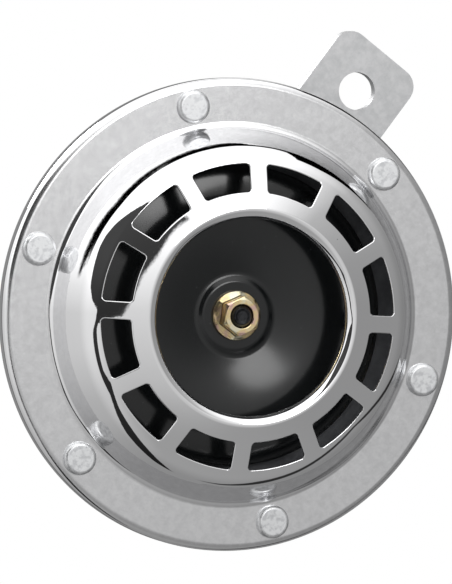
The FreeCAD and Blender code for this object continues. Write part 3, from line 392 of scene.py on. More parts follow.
@dataclass(frozen=True)
class ZincPlate(Finish):
    """Zinc plated over sheared or turned steel: satin, clouded, with hair scratches from handling.

    Attributes:
        cloud: sRGB hex of the darker clouds.
        cloud_mm: Size of a cloud.
        scratch_mm: Width of a scratch.
        scratched: How strongly scratches and clouds show, where 1 is a worn part.
        stains: Its stains and chips.
    """

    cloud: str = "#9C9EA1"
    cloud_mm: float = 4.0
    scratch_mm: float = 0.45
    scratched: float = 1.0
    # A handled part has a stain or a chip here and there, about half a millimetre across
    stains: Specks = Specks(radius=0.22, gap=8.0, share=0.35, colour="#5E5E5E")

    def detail(self, tree: Tree, place: Socket) -> dict[str, Any]:
        """Clouds the plating and draws fine scratches along one direction.

        Args:
            tree: The material's node tree.
            place: Coordinates in metres.

        Returns:
            The shader's inputs that the pattern drives.
        """
        blots = {"Vector": place, "Scale": per_mm(self.cloud_mm), "Detail": 5, "Roughness": 0.65}
        clouds = add(tree, Kind.NOISE, blots)
        drawn_out = {"Vector": place, "Rotation": (0, 0.5, 0), "Scale": (1, 1, 0.06)}
        # Real hair scratches are 0.05 mm wide; drawn at about 0.4 mm so that they show
        lines = {"Vector": add(tree, Kind.MAPPING, drawn_out), "Scale": per_mm(self.scratch_mm)}
        scratches = add(tree, Kind.NOISE, {**lines, "Detail": 2, "Roughness": 0.5})
        grime = add(tree, Kind.RANGE, (clouds, 0.3, 0.7, 0, 1), **SOFTLY)
        low, high = self.roughness * (1 - 0.25 * self.scratched), self.roughness * (1 + 0.3 * self.scratched)
        rough = add(tree, Kind.RANGE, (scratches, 0.3, 0.7, low, high), **SOFTLY)
        dark, plain = linear(self.cloud), linear(self.colour)
        grimy = add(tree, Kind.MIX, {0: grime, 6: dark, 7: plain}, data_type="RGBA").outputs[2]
        uneven, cut = 0.05 * self.scratched * MM, 0.02 * self.scratched * MM
        first = add(tree, Kind.BUMP, {"Height": clouds, "Distance": uneven, "Strength": 0.35})
        skin = add(tree, Kind.BUMP, {"Height": scratches, "Distance": cut, "Strength": 0.35, "Normal": first})
        return {"Roughness": rough, "Base Color": self.stains.over(tree, place, grimy), "Normal": skin}


@dataclass(frozen=True)
class YellowZinc(Finish):
    """Zinc plate passivated in yellow chromate: gold with pink and green film colours.

    Attributes:
        pink: sRGB hex of the film's pink.
        green: sRGB hex of its green.
    """

    pink: str = "#DDBAAE"
    green: str = "#E9E2C6"

    def detail(self, tree: Tree, place: Socket) -> dict[str, Any]:
        """Runs the film's colours over the metal.

        Args:
            tree: The material's node tree.
            place: Coordinates in metres.

        Returns:
            The shader's inputs that the pattern drives.
        """
        film = add(tree, Kind.NOISE, {"Vector": place, "Scale": per_mm(3.6), "Detail": 2, "Roughness": 0.5})
        colours = ((0.36, linear(self.pink)), (0.64, linear(self.green)), (0.5, linear(self.colour)))
        gold = add(tree, Kind.RAMP, {"Fac": film}, colours).outputs["Color"]
        fine = add(tree, Kind.NOISE, {"Vector": place, "Scale": per_mm(0.7), "Detail": 3, "Roughness": 0.6})
        low, high = self.roughness * 0.8, self.roughness * 1.2
        rough = add(tree, Kind.RANGE, (fine, 0.3, 0.7, low, high), **SOFTLY)
        skin = add(tree, Kind.BUMP, {"Height": fine, "Distance": 0.01 * MM, "Strength": 0.3})
        return {"Base Color": gold, "Roughness": rough, "Normal": skin}


@dataclass(frozen=True)
class StovePaint(Finish):
    """Black paint sprayed and baked on steel: even colour, soft shine and a fine orange peel.

    Attributes:
        peel_mm: Size of the orange peel's bumps.
        dust: sRGB hex of the paint where dust dulls it.
        peel_depth: Height of the bumps, in millimetres.
        patchiness: How much the shine varies, as a share of the roughness.
        flecks: Dust that lies on it.
    """

    peel_mm: float = 0.9
    dust: str = "#1B1C1E"
    peel_depth: float = 0.03
    patchiness: float = 0.17
    flecks: Specks | None = None

    def detail(self, tree: Tree, place: Socket) -> dict[str, Any]:
        """Gives the paint its peel and a trace of dust.

        Args:
            tree: The material's node tree.
            place: Coordinates in metres.

        Returns:
            The shader's inputs that the pattern drives.
        """
        blots = {"Vector": place, "Scale": per_mm(self.peel_mm), "Detail": 2, "Roughness": 0.5}
        peel = add(tree, Kind.NOISE, blots)
        patches = add(tree, Kind.NOISE, {"Vector": place, "Scale": per_mm(11), "Detail": 4, "Roughness": 0.6})
        spread = add(tree, Kind.RANGE, (patches, 0.35, 0.7, 0, 1), **SOFTLY)
        clean, dusty = linear(self.colour), linear(self.dust)
        base = add(tree, Kind.MIX, {0: spread, 6: clean, 7: dusty}, data_type="RGBA").outputs[2]
        if self.flecks:
            base = self.flecks.over(tree, place, base)
        low, high = self.roughness * (1 - self.patchiness), self.roughness * (1 + self.patchiness)
        rough = add(tree, Kind.RANGE, (patches, 0.3, 0.7, low, high), **SOFTLY)
        skin = add(tree, Kind.BUMP, {"Height": peel, "Distance": self.peel_depth * MM, "Strength": 0.25})
        return {"Base Color": base, "Roughness": rough, "Normal": skin}


@dataclass(frozen=True)
class Fibre(Finish):
    """Pressed paper or resin-bonded sheet: matt, with short fibres in it.

    Attributes:
        fibre_mm: Width of a bundle of fibres.
        dark: sRGB hex of the darker fibres.
    """

    fibre_mm: float = 0.6
    dark: str = "#2B2118"

    def detail(self, tree: Tree, place: Socket) -> dict[str, Any]:
        """Mixes the fibres' two tones and lets them stand up a little.

        Args:
            tree: The material's node tree.
            place: Coordinates in metres.

        Returns:
            The shader's inputs that the pattern drives.
        """
        lying = add(tree, Kind.MAPPING, {"Vector": place, "Scale": (0.35, 1, 1)})
        strands = {"Vector": lying, "Scale": per_mm(self.fibre_mm), "Detail": 4, "Roughness": 0.65}
        fibres = add(tree, Kind.NOISE, strands)
        share = add(tree, Kind.RANGE, (fibres, 0.35, 0.65, 0, 1), **SOFTLY)
        dark, plain = linear(self.dark), linear(self.colour)
        tones = add(tree, Kind.MIX, {0: share, 6: dark, 7: plain}, data_type="RGBA").outputs[2]
        skin = add(tree, Kind.BUMP, {"Height": fibres, "Distance": 0.05 * MM, "Strength": 0.5})
        return {"Base Color": tones, "Normal": skin}


@dataclass(frozen=True)
class WoundWire(Finish):
    """Enamelled copper wire wound in layers: each turn is a fine ridge round the coil.

    Attributes:
        wire_mm: Width of a turn.
        painted_groove_shade: sRGB hex of the painted shade between two turns, darker than the wire.
        bands_a_unit: How many bands the pattern draws in one of its own units.
    """

    wire_mm: float = 0.6
    # Painted shade: the colour laid into the grooves between the turns
    painted_groove_shade: str = "#5A2410"
    bands_a_unit: float = 20.0

    def detail(self, tree: Tree, place: Socket) -> dict[str, Any]:
        """Draws the turns as rings along the horn's axis.

        Args:
            tree: The material's node tree.
            place: Coordinates in metres.

        Returns:
            Draws the turns as rings along the horn's axis, with painted shade in the grooves between them.
        """
        turns = {"Vector": place, "Scale": per_mm(self.wire_mm) / self.bands_a_unit, "Distortion": 0.2}
        wire = add(tree, Kind.WAVE, turns, bands_direction="Y").outputs["Fac"]
        # The wave's low part paints shade into the grooves between turns
        dark, plain = linear(self.painted_groove_shade), linear(self.colour)
        copper = add(tree, Kind.MIX, {0: wire, 6: dark, 7: plain}, data_type="RGBA").outputs[2]
        skin = add(tree, Kind.BUMP, {"Height": wire, "Distance": 0.2 * MM, "Strength": 0.6})
        return {"Base Color": copper, "Normal": skin}


FINISHES: dict[str, Finish] = {
    # Chromium is a cold white, brighter than bare steel, that mirrors all that stands round it
    "chrome_plate": ChromePlate("chromium_plate", "#EEEEEF", 1.0, 0.06),
    # Cold-headed steel rivet under the same bright plate, duller than the dome
    "rivet_steel": FormedSteel("cold_headed_steel", "#E6E7E8", 1.0, 0.42),
    # Satin black stove paint on the drawn housing
    "black_paint": StovePaint("stoved_black_paint", "#111214", 0.0, 0.42),
    # Semi-gloss black enamel on the spun tone disc: deep, with one soft light in it. The house dust on it is
    # 0.05 mm across, drawn larger so that it shows
    "black_enamel": StovePaint(
        "black_enamel", "#131516", 0.0, 0.15, peel_mm=1.4, dust="#101213", peel_depth=0.004, patchiness=0.1,
        flecks=Specks(radius=0.15, gap=2.2, share=0.4, colour="#4B4E50"),
    ),
    # Steel blackened in hot oxide: black with a low metal glint
    "black_oxide": ZincPlate("black_oxide_steel", "#3A3B3D", 1.0, 0.32, cloud="#232425", cloud_mm=1.5),
    # Yellow chromate over zinc: gold, pink where the film is thin
    "yellow_zinc": YellowZinc("yellow_chromate_zinc", "#E8D09A", 1.0, 0.19),
    # Satin zinc on the sheared strip: pale grey, blotched
    "satin_zinc": ZincPlate(
        "satin_zinc_plate", "#CFCFD0", 1.0, 0.46,
        cloud="#BFC0C1", cloud_mm=2.6, scratch_mm=0.5, scratched=0.16,
    ),
    # Clear zinc on turned and pressed parts: a little brighter
    "zinc_plate": ZincPlate("clear_zinc_plate", "#CFD1D4", 1.0, 0.34),
    # Turned soft iron: darker and warmer than plated steel
    "soft_iron": ZincPlate("turned_soft_iron", "#8E8C89", 1.0, 0.38, cloud="#6E6C69", cloud_mm=3.0),
    # Cold-rolled strip blued in the furnace: dark grey, satin
    "spring_steel": ZincPlate(
        "rolled_spring_steel", "#4A4B4D", 1.0, 0.42, cloud="#3D3E40", cloud_mm=6.0, scratched=0.3
    ),
    # Pressed gasket paper: dull brown-grey
    "gasket_fibre": Fibre("gasket_paper", "#6D6254", 0.0, 0.9, fibre_mm=0.7, dark="#4B4237"),
    # Moulded black polyamide with the mould's fine grain
    "moulded_nylon": StovePaint("moulded_polyamide", "#17181A", 0.0, 0.55, peel_mm=0.6, dust="#1E1F21"),
    # Resin-bonded paper: brown and slightly glossy
    "phenolic": Fibre("phenolic_sheet", "#6E3A1C", 0.0, 0.45, fibre_mm=0.8, dark="#4A2410"),
    # Enamelled copper: reddish with a varnish shine
    "enamelled_copper": WoundWire("enamelled_copper", "#B4683C", 1.0, 0.3),
    # Rolled brass
    "brass_strip": ZincPlate("rolled_brass", "#D2B468", 1.0, 0.3, cloud="#B5954A"),
    # Tin over brass: warm white
    "tinned_brass": ZincPlate("tin_plated_brass", "#D5D0C4", 1.0, 0.33, cloud="#B9B3A4", cloud_mm=2.5),
    # Silver contact face
    "contact_silver": ZincPlate("contact_silver", "#DEDDD8", 1.0, 0.28, cloud="#BDBBB4", cloud_mm=1.2),
}


class Paintbox:
    """Makes each finish once and hands it out by the record's slot name."""

    def __init__(self) -> None:
        """Starts with nothing made."""
        self.made: dict[str, bpy.types.Material] = {}

    def get(self, slot: str) -> bpy.types.Material:
        """Gives the slot's material, and builds it the first time.

        Args:
            slot: The record's name of the slot.

        Returns:
            The material.
        """
        if slot not in self.made:
            self.made[slot] = FINISHES[slot].make()
        return self.made[slot]


# Meshes


@dataclass
class Skin:
    """Vertices with their true normals, and the faces between them, in the horn's frame.

    Attributes:
        points: The vertices.
        normals: Their normals.
        faces: Numbers of each face's vertices.
        reach: How near vertices lie that are joined.
        alike: Least cosine between the normals of vertices that are joined.
    """

    points: list[Triple] = field(default_factory=list)
    normals: list[Triple] = field(default_factory=list)
    faces: list[tuple[int, ...]] = field(default_factory=list)
    reach: float = 0.02
    alike: float = 0.98

    def row(self, points: Iterable[tuple[Triple, Triple]]) -> list[int]:
        """Adds vertices with their normals.

        Args:
            points: Place and normal of each vertex.

        Returns:
            Numbers of the vertices.
        """
        start = len(self.points)
        for point, normal in points:
            self.points.append(point)
            length = math.sqrt(sum(v * v for v in normal)) or 1.0
            self.normals.append((normal[0] / length, normal[1] / length, normal[2] / length))
        return list(range(start, len(self.points)))

    def ring(self, place: Pair, normal: Pair, steps: int, start: float = 0.0) -> list[int]:
        """Adds one full circle of vertices.

        Args:
            place: The circle's radius and its height along the axis.
            normal: Radial and forward part of its normal.
            steps: Number of its vertices.
            start: Bearing of the first one, in degrees.

        Returns:
            Numbers of its vertices.
        """
        radius, height = place
        samples = []
        for index in range(steps):
            angle = math.radians(start) + math.tau * index / steps
            cosine, sine = math.cos(angle), math.sin(angle)
            point = (radius * cosine, radius * sine, height)
            samples.append((point, (normal[0] * cosine, normal[0] * sine, normal[1])))
        return self.row(samples)

    def bridge(self, first: Sequence[int], second: Sequence[int]) -> None:
        """Joins two closed rows of the same length with faces.

        Args:
            first: Numbers of one row's vertices.
            second: Numbers of the other's.
        """
        count = len(first)
        for index in range(count):
            following = (index + 1) % count
            self.faces.append((first[index], first[following], second[following], second[index]))

    def loft(self, rows: Sequence[Sequence[int]], clockwise: bool = False, closed: bool = False) -> None:
        """Joins each row to the next.

        Args:
            rows: Numbers of each row's vertices.
            clockwise: Whether the rows follow an outline clockwise, seen with its height upwards.
            closed: Whether the last row joins the first.
        """
        for first, second in zip(rows, [*rows[1:], *rows[:1]] if closed else rows[1:]):
            if clockwise:
                first, second = second, first
            self.bridge(first, second)

    def weld(self) -> None:
        """Joins vertices that lie together and face the same way, so that rows which meet share them."""
        tree = kdtree.KDTree(len(self.points))
        for number, point in enumerate(self.points):
            tree.insert(point, number)
        tree.balance()
        kept: dict[int, int] = {}
        points, normals = [], []
        for number, point in enumerate(self.points):
            if number in kept:
                continue
            kept[number] = len(points)
            normal = Vector(self.normals[number])
            for _, other, _ in tree.find_range(point, self.reach):
                if other <= number or other in kept:
                    continue
                if normal.dot(Vector(self.normals[other])) > self.alike:
                    kept[other] = len(points)
            points.append(point)
            normals.append(self.normals[number])
        faces = [tuple(dict.fromkeys(kept[corner] for corner in face)) for face in self.faces]
        self.points, self.normals = points, normals
        self.faces = [face for face in faces if len(face) > 2]

    def build(self, name: str) -> bpy.types.Object:
        """Makes the mesh object in the row frame, shaded by the true normals.

        Args:
            name: The piece's name.

        Returns:
            The object, linked to the scene.
        """
        self.weld()
        mesh = bpy.data.meshes.new(name)
        mesh.from_pydata([HORN.place(*point) for point in self.points], [], self.faces)
        mesh.validate()
        mesh.polygons.foreach_set("use_smooth", [True] * len(mesh.polygons))
        mesh.normals_split_custom_set_from_vertices([HORN.aim(*normal) for normal in self.normals])
        mesh.update()
        piece = bpy.data.objects.new(name, mesh)
        bpy.context.scene.collection.objects.link(piece)
        return piece


def unit(first: Pair, second: Pair) -> Pair:
    """Direction from one corner of an outline to the next.

    Args:
        first: The corner that it starts from.
        second: The next one.

    Returns:
        Radial and forward part, of length 1.
    """
    across, along = second[0] - first[0], second[1] - first[1]
    length = math.hypot(across, along)
    return across / length, along / length


@dataclass
class Bend:
    """One corner of a pressed sheet's outline.

    Attributes:
        corner: Radius and height of the sharp corner.
        radius: Radius of the bend on the outline's own face.
    """

    corner: Pair
    radius: float

    def arc(self, before: Pair, after: Pair, steps: int) -> list[Sample]:
        """Points of the rounded corner with the normals of the outline's left side.

        Args:
            before: The corner before this one.
            after: The corner after it.
            steps: How many pieces the arc has.

        Returns:
            Point and normal of each sample, in order.
        """
        arriving, leaving = unit(before, self.corner), unit(self.corner, after)
        turn = math.atan2(
            arriving[0] * leaving[1] - arriving[1] * leaving[0],
            arriving[0] * leaving[0] + arriving[1] * leaving[1],
        )
        side = 1.0 if turn > 0 else -1.0
        reach = self.radius * math.tan(abs(turn) / 2)
        start = (self.corner[0] - arriving[0] * reach, self.corner[1] - arriving[1] * reach)
        left = (-arriving[1], arriving[0])
        centre = (start[0] + left[0] * self.radius * side, start[1] + left[1] * self.radius * side)
        samples = []
        for step in range(steps + 1):
            angle = turn * step / steps
            cosine, sine = math.cos(angle), math.sin(angle)
            normal = (left[0] * cosine - left[1] * sine, left[0] * sine + left[1] * cosine)
            offset = self.radius * side
            samples.append(((centre[0] - normal[0] * offset, centre[1] - normal[1] * offset), normal))
        return samples


def rounded(corners: Sequence[Triple], steps: int = 6) -> list[Sample]:
    """Follows an open outline and rounds its corners.

    Args:
        corners: Radius, height and bend of each corner; the bends of the two ends aren't read.
        steps: Pieces of each bend.

    Returns:
        Place and left-hand normal of each sample.
    """
    plan = [(corner[0], corner[1]) for corner in corners]
    first, last = unit(plan[0], plan[1]), unit(plan[-2], plan[-1])
    samples = [(plan[0], (-first[1], first[0]))]
    for index in range(1, len(plan) - 1):
        samples += Bend(plan[index], corners[index][2]).arc(plan[index - 1], plan[index + 1], steps)
    samples.append((plan[-1], (-last[1], last[0])))
    return samples


def round_sheet(face: list[Sample], sheet: float, rounding: float) -> list[Sample]:
    """Follows a sheet's face to its end, round the cut edge and back along the other face.

    Args:
        face: Samples of the front face.
        sheet: The sheet's thickness.
        rounding: How far the rounded edge reaches past the last sample.

    Returns:
        Samples of the whole run.
    """
    point, normal = face[-1]
    ahead = unit(face[-2][0], point)
    half = sheet / 2
    pieces = 8
    edge = []
    for step in range(1, pieces):
        angle = math.pi * step / pieces
        cosine, sine = math.cos(angle), math.sin(angle)
        place = (
            point[0] - normal[0] * half * (1 - cosine) + ahead[0] * rounding * sine,
            point[1] - normal[1] * half * (1 - cosine) + ahead[1] * rounding * sine,
        )
        lean = (
            normal[0] * cosine * rounding + ahead[0] * half * sine,
            normal[1] * cosine * rounding + ahead[1] * half * sine,
        )
        edge.append((place, lean))
    back = []
    for place, out in reversed(face):
        back.append(((place[0] - out[0] * sheet, place[1] - out[1] * sheet), (-out[0], -out[1])))
    return [*face, *edge, *back]


def fit(piece: bpy.types.Object, body: Body, node: str, slot: str, paint: Paintbox) -> bpy.types.Object:
    """Dresses a piece that stands for a CAD node and lets it ride on the node's body.

    Args:
        piece: The new piece.
        body: What it rides on.
        node: The node that it stands for.
        slot: The record's slot of its finish.
        paint: The finishes.

    Returns:
        The same piece.
    """
    piece.data.materials.append(paint.get(slot))
    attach(piece, body.value)
    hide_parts(node)
    return piece


# The grille


@dataclass
class GrillePressing:
    """The plated front pressing: skirt, flange, dome wall, windowed crown and curled mouth.

    It stands for the solid of the same shape, with true curved normals and softly rounded window edges.
    """

    sheet: float = 1.0
    skirt_end: float = -5.5
    flange_radius: float = 67.0
    wall_foot: float = 53.4
    shoulder: Pair = (46.5, 13.6)
    crown_slope: float = 19.0
    crown_dome: float = 0.00582
    roll_start: float = 31.0
    mouth_radius: float = 27.7
    lip_end: float = 16.45
    edge_bend: float = 2.3
    foot_bend: float = 2.2
    shoulder_bend: float = 9.0
    wall_bend: float = 90.0
    wall_bulge: float = 0.29
    mouth_bend: float = 2.55
    end_round: float = 0.35
    window_outer: float = 43.0
    window_inner: float = 35.1
    window_corner: float = 1.0
    window_round: float = 0.38
    spoke_width: float = 5.1
    windows: int = 12
    first_window: float = 19.2
    patch_outer: float = 43.7
    patch_inner: float = 34.0
    arc_steps: tuple[int, int] = (5, 20)
    side_steps: tuple[int, int] = (5, 4)
    bend_steps: tuple[int, ...] = (18, 8, 8, 12)
    mouth_steps: int = 16
    crown_steps: int = 5
    patch_shares: tuple[float, ...] = (0.0, 0.25, 0.5, 0.75, 1.0)
    cut_leans: tuple[float, ...] = (18, 36, 54, 72, 90)

    @property
    def segments(self) -> int:
        """Number of steps round the horn's axis."""
        return self.windows * (2 * self.arc_steps[0] + self.arc_steps[1])

    def crown_height(self, radius: float) -> float:
        """Height of the crown's outer face at a radius: a cone that is domed a little."""
        cone = self.shoulder[1] + (self.shoulder[0] - radius) * math.tan(math.radians(self.crown_slope))
        return cone + self.crown_dome * (self.window_outer - radius) * (radius - self.roll_start)

    def crown_fall(self, radius: float) -> float:
        """How steeply the crown falls outward at a radius."""
        dome = self.crown_dome * (2 * radius - self.window_outer - self.roll_start)
        return math.tan(math.radians(self.crown_slope)) + dome

    def crown_normal(self, radius: float) -> Pair:
        """Radial and forward part of the crown's outward normal at a radius."""
        fall = self.crown_fall(radius)
        return fall / math.hypot(fall, 1.0), 1.0 / math.hypot(fall, 1.0)

    def outer_face(self) -> list[Sample]:
        """Follows the sheet's front face from the crown's patch out to the skirt.

        Returns:
            Place and normal of each sample.
        """
        start = (self.patch_outer, self.crown_height(self.patch_outer))
        fall = self.crown_fall(self.patch_outer)
        # The crown's last tangent meets the line of the wall at the shoulder's sharp corner
        run, rise = self.wall_foot - self.shoulder[0], self.shoulder[1]
        along = (start[1] - (self.wall_foot - start[0]) * fall) / (rise - run * fall)
        top = (self.wall_foot - run * along, rise * along)
        # The drawn wall isn't quite straight: it bellies out a little halfway up
        down = unit(top, (self.wall_foot, 0.0))
        middle = ((top[0] + self.wall_foot) / 2, top[1] / 2)
        corners = [
            start,
            top,
            (middle[0] - down[1] * self.wall_bulge, middle[1] + down[0] * self.wall_bulge),
            (self.wall_foot, 0.0),
            (self.flange_radius, 0.0),
            (self.flange_radius, self.skirt_end + self.end_round),
        ]
        bends = (self.shoulder_bend, self.wall_bend, self.foot_bend, self.edge_bend)
        samples = [(start, self.crown_normal(self.patch_outer))]
        for index, (radius, count) in enumerate(zip(bends, self.bend_steps), start=1):
            samples += Bend(corners[index], radius).arc(corners[index - 1], corners[index + 1], count)
        samples.append((corners[-1], (1.0, 0.0)))
        return samples

    def mouth_face(self) -> list[Sample]:
        """Follows the front face from the crown's patch in to the mouth's edge.

        Returns:
            Place and normal of each sample.
        """
        crown = []
        for step in range(self.crown_steps + 1):
            radius = self.patch_inner + (self.roll_start - self.patch_inner) * step / self.crown_steps
            crown.append(((radius, self.crown_height(radius)), self.crown_normal(radius)))
        start = crown[-1][0]
        top = (self.mouth_radius, start[1] + (start[0] - self.mouth_radius) * self.crown_fall(start[0]))
        end = (self.mouth_radius, self.lip_end + self.end_round)
        arc = Bend(top, self.mouth_bend).arc(start, end, self.mouth_steps)
        samples = [(point, (-normal[0], -normal[1])) for point, normal in arc]
        return [*crown, *samples, (end, (-1.0, 0.0))]

    def window_loop(self, grow: float) -> list[Sample]:
        """One window's outline, grown outward, with the direction that points into the metal.

        Args:
            grow: How far outside the cut the outline lies.

        Returns:
            Point and direction of each sample; the window's middle lies on the x axis.
        """
        half_pitch = math.pi / self.windows
        inset = self.spoke_width / 2 + self.window_corner
        outer, inner = self.window_outer + grow, self.window_inner - grow
        corner = self.window_corner + grow

        def centre(radius: float, side: float) -> Pair:
            """Finds the centre of a rounded corner.

            Args:
                radius: How far from the horn's axis it lies.
                side: 1 on the left of the window, -1 on the right.

            Returns:
                The centre.
            """
            along = math.sqrt(radius * radius - inset * inset)
            lean = side * half_pitch
            return (
                along * math.cos(lean) + side * inset * math.sin(lean),
                along * math.sin(lean) - side * inset * math.cos(lean),
            )

        def sweep(
            middle: Pair, radius: float, start: float, end: float, steps: int, flip: bool = False
        ) -> list[Sample]:
            """Follows an arc and leaves its last point out.

            Args:
                middle: The arc's centre.
                radius: Its radius.
                start: Angle where it starts.
                end: Angle where it ends.
                steps: How many samples it has.
                flip: Whether the metal lies on the side of the centre.

            Returns:
                Point and direction of each sample.
            """
            samples = []
            for step in range(steps):
                angle = start + (end - start) * step / steps
                way = (math.cos(angle), math.sin(angle))
                out = (-way[0], -way[1]) if flip else way
                samples.append(((middle[0] + way[0] * radius, middle[1] + way[1] * radius), out))
            return samples

        def line(start: Pair, end: Pair, out: Pair, steps: int) -> list[Sample]:
            """Follows a straight side and leaves its last point out.

            Args:
                start: Where it starts.
                end: Where it ends.
                out: The direction into the metal.
                steps: How many samples it has.

            Returns:
                Point and direction of each sample.
            """
            samples = []
            for step in range(steps):
                x = start[0] + (end[0] - start[0]) * step / steps
                y = start[1] + (end[1] - start[1]) * step / steps
                samples.append(((x, y), out))
            return samples

        quarter = math.pi / 2
        right_out = centre(self.window_outer - self.window_corner, -1.0)
        left_out = centre(self.window_outer - self.window_corner, 1.0)
        left_in = centre(self.window_inner + self.window_corner, 1.0)
        right_in = centre(self.window_inner + self.window_corner, -1.0)
        lean_out = math.atan2(left_out[1], left_out[0])
        lean_in = math.atan2(left_in[1], left_in[0])
        side_left = half_pitch + quarter
        mid_out = (lean_out + side_left) / 2
        mid_in = (side_left + lean_in + math.pi) / 2
        left_way = (math.cos(side_left), math.sin(side_left))
        right_way = (left_way[0], -left_way[1])

        def beside(middle: Pair, way: Pair) -> Pair:
            """Point of a corner that meets the straight side."""
            return middle[0] + way[0] * corner, middle[1] + way[1] * corner

        few, many = self.arc_steps
        turn, straight = self.side_steps
        origin = (0.0, 0.0)
        loop = sweep(right_out, corner, -mid_out, -lean_out, few)
        loop += sweep(origin, outer, -lean_out, lean_out, many)
        loop += sweep(left_out, corner, lean_out, mid_out, few)
        loop += sweep(left_out, corner, mid_out, side_left, turn)
        loop += line(beside(left_out, left_way), beside(left_in, left_way), left_way, straight)
        loop += sweep(left_in, corner, side_left, mid_in, turn)
        loop += sweep(left_in, corner, mid_in, lean_in + math.pi, few)
        loop += sweep(origin, inner, lean_in, -lean_in, many, True)
        loop += sweep(right_in, corner, -lean_in - math.pi, -mid_in, few)
        loop += sweep(right_in, corner, -mid_in, -side_left, turn)
        loop += line(beside(right_in, right_way), beside(right_out, right_way), right_way, straight)
        loop += sweep(right_out, corner, -side_left, -mid_out, turn)
        return loop

    def sector_loop(self, outer: float, inner: float) -> list[Pair]:
        """The patch's outer boundary, sample for sample opposite the window's outline.

        Args:
            outer: Radius of its outer arc.
            inner: Radius of its inner arc.

        Returns:
            Points of the boundary; the window's middle lies on the x axis.
        """
        half_pitch = math.pi / self.windows
        arc = 2 * self.arc_steps[0] + self.arc_steps[1]
        side = 2 * self.side_steps[0] + self.side_steps[1]
        loop = []
        for step in range(arc):
            angle = -half_pitch + 2 * half_pitch * step / arc
            loop.append((outer * math.cos(angle), outer * math.sin(angle)))
        for step in range(side):
            radius = outer + (inner - outer) * step / side
            loop.append((radius * math.cos(half_pitch), radius * math.sin(half_pitch)))
        for step in range(arc):
            angle = half_pitch - 2 * half_pitch * step / arc
            loop.append((inner * math.cos(angle), inner * math.sin(angle)))
        for step in range(side):
            radius = inner + (outer - inner) * step / side
            loop.append((radius * math.cos(half_pitch), -radius * math.sin(half_pitch)))
        return loop

    def window_patch(self, skin: Skin, number: int) -> None:
        """Adds the crown's metal round one window: front face, rounded cut, and back face.

        Args:
            skin: The mesh being made.
            number: Which window, counted from 0.
        """
        turn = math.radians(self.first_window + number * 360.0 / self.windows)
        cosine, sine = math.cos(turn), math.sin(turn)
        front = self.sector_loop(self.patch_outer, self.patch_inner)
        behind = self.sector_loop(
            self.patch_outer - self.sheet * self.crown_normal(self.patch_outer)[0],
            self.patch_inner - self.sheet * self.crown_normal(self.patch_inner)[0],
        )
        grown = self.window_loop(self.window_round)

        def add_row(
            plan: list[Pair], drop: float, lean: float, outward: list[Pair], sign: float
        ) -> list[int]:
            """Adds one row of vertices round the window.

            Args:
                plan: Where they lie, seen along the horn's axis.
                drop: How far below the crown's face.
                lean: 0 for the face's own normal, a right angle for the cut's.
                outward: The direction into the metal at each.
                sign: 1 on the front face, -1 on the back.

            Returns:
                Numbers of the vertices.
            """
            samples = []
            for (x, y), (ox, oy) in zip(plan, outward):
                radius = math.hypot(x, y)
                radial, forward = self.crown_normal(radius)
                height = self.crown_height(radius) - drop - (self.sheet / forward if sign < 0 else 0.0)
                nx = sign * radial * x / radius * math.cos(lean) - ox * math.sin(lean)
                ny = sign * radial * y / radius * math.cos(lean) - oy * math.sin(lean)
                nz = sign * forward * math.cos(lean)
                point = (x * cosine - y * sine, x * sine + y * cosine, height)
                samples.append((point, (nx * cosine - ny * sine, nx * sine + ny * cosine, nz)))
            return skin.row(samples)

        def between(boundary: list[Pair], share: float) -> list[Pair]:
            """Finds a row part of the way from the boundary to the window's edge.

            Args:
                boundary: The patch's boundary.
                share: How far along.

            Returns:
                The row's points.
            """
            return [
                (b[0] + (g[0][0] - b[0]) * share, b[1] + (g[0][1] - b[1]) * share)
                for b, g in zip(boundary, grown)
            ]

        plain = [out for _, out in grown]
        leans = [math.radians(angle) for angle in self.cut_leans]
        rows = [add_row(between(front, share), 0.0, 0.0, plain, 1.0) for share in self.patch_shares]
        for sign, order in ((1.0, leans), (-1.0, leans[::-1])):
            for lean in order:
                loop = self.window_loop(self.window_round * (1 - math.sin(lean)))
                drop = sign * self.window_round * (1 - math.cos(lean))
                rows.append(add_row([p for p, _ in loop], drop, lean, [o for _, o in loop], sign))
        shares = reversed(self.patch_shares)
        rows += [add_row(between(behind, share), 0.0, 0.0, plain, -1.0) for share in shares]
        skin.loft(rows)

    def build(self, paint: Paintbox) -> bpy.types.Object:
        """Makes the pressing and dresses it.

        Args:
            paint: The finishes.

        Returns:
            The finished piece.
        """
        skin = Skin()
        start = self.first_window - 180.0 / self.windows
        for face, clockwise in ((self.outer_face(), True), (self.mouth_face(), False)):
            run = round_sheet(face, self.sheet, self.end_round)
            rings = [skin.ring(point, normal, self.segments, start) for point, normal in run]
            skin.loft(rings, clockwise)
        for number in range(self.windows):
            self.window_patch(skin, number)
        return fit(skin.build("grille_pressing"), Body.HORN, "front_grille", "chrome_plate", paint)


# The tone unit and the studs


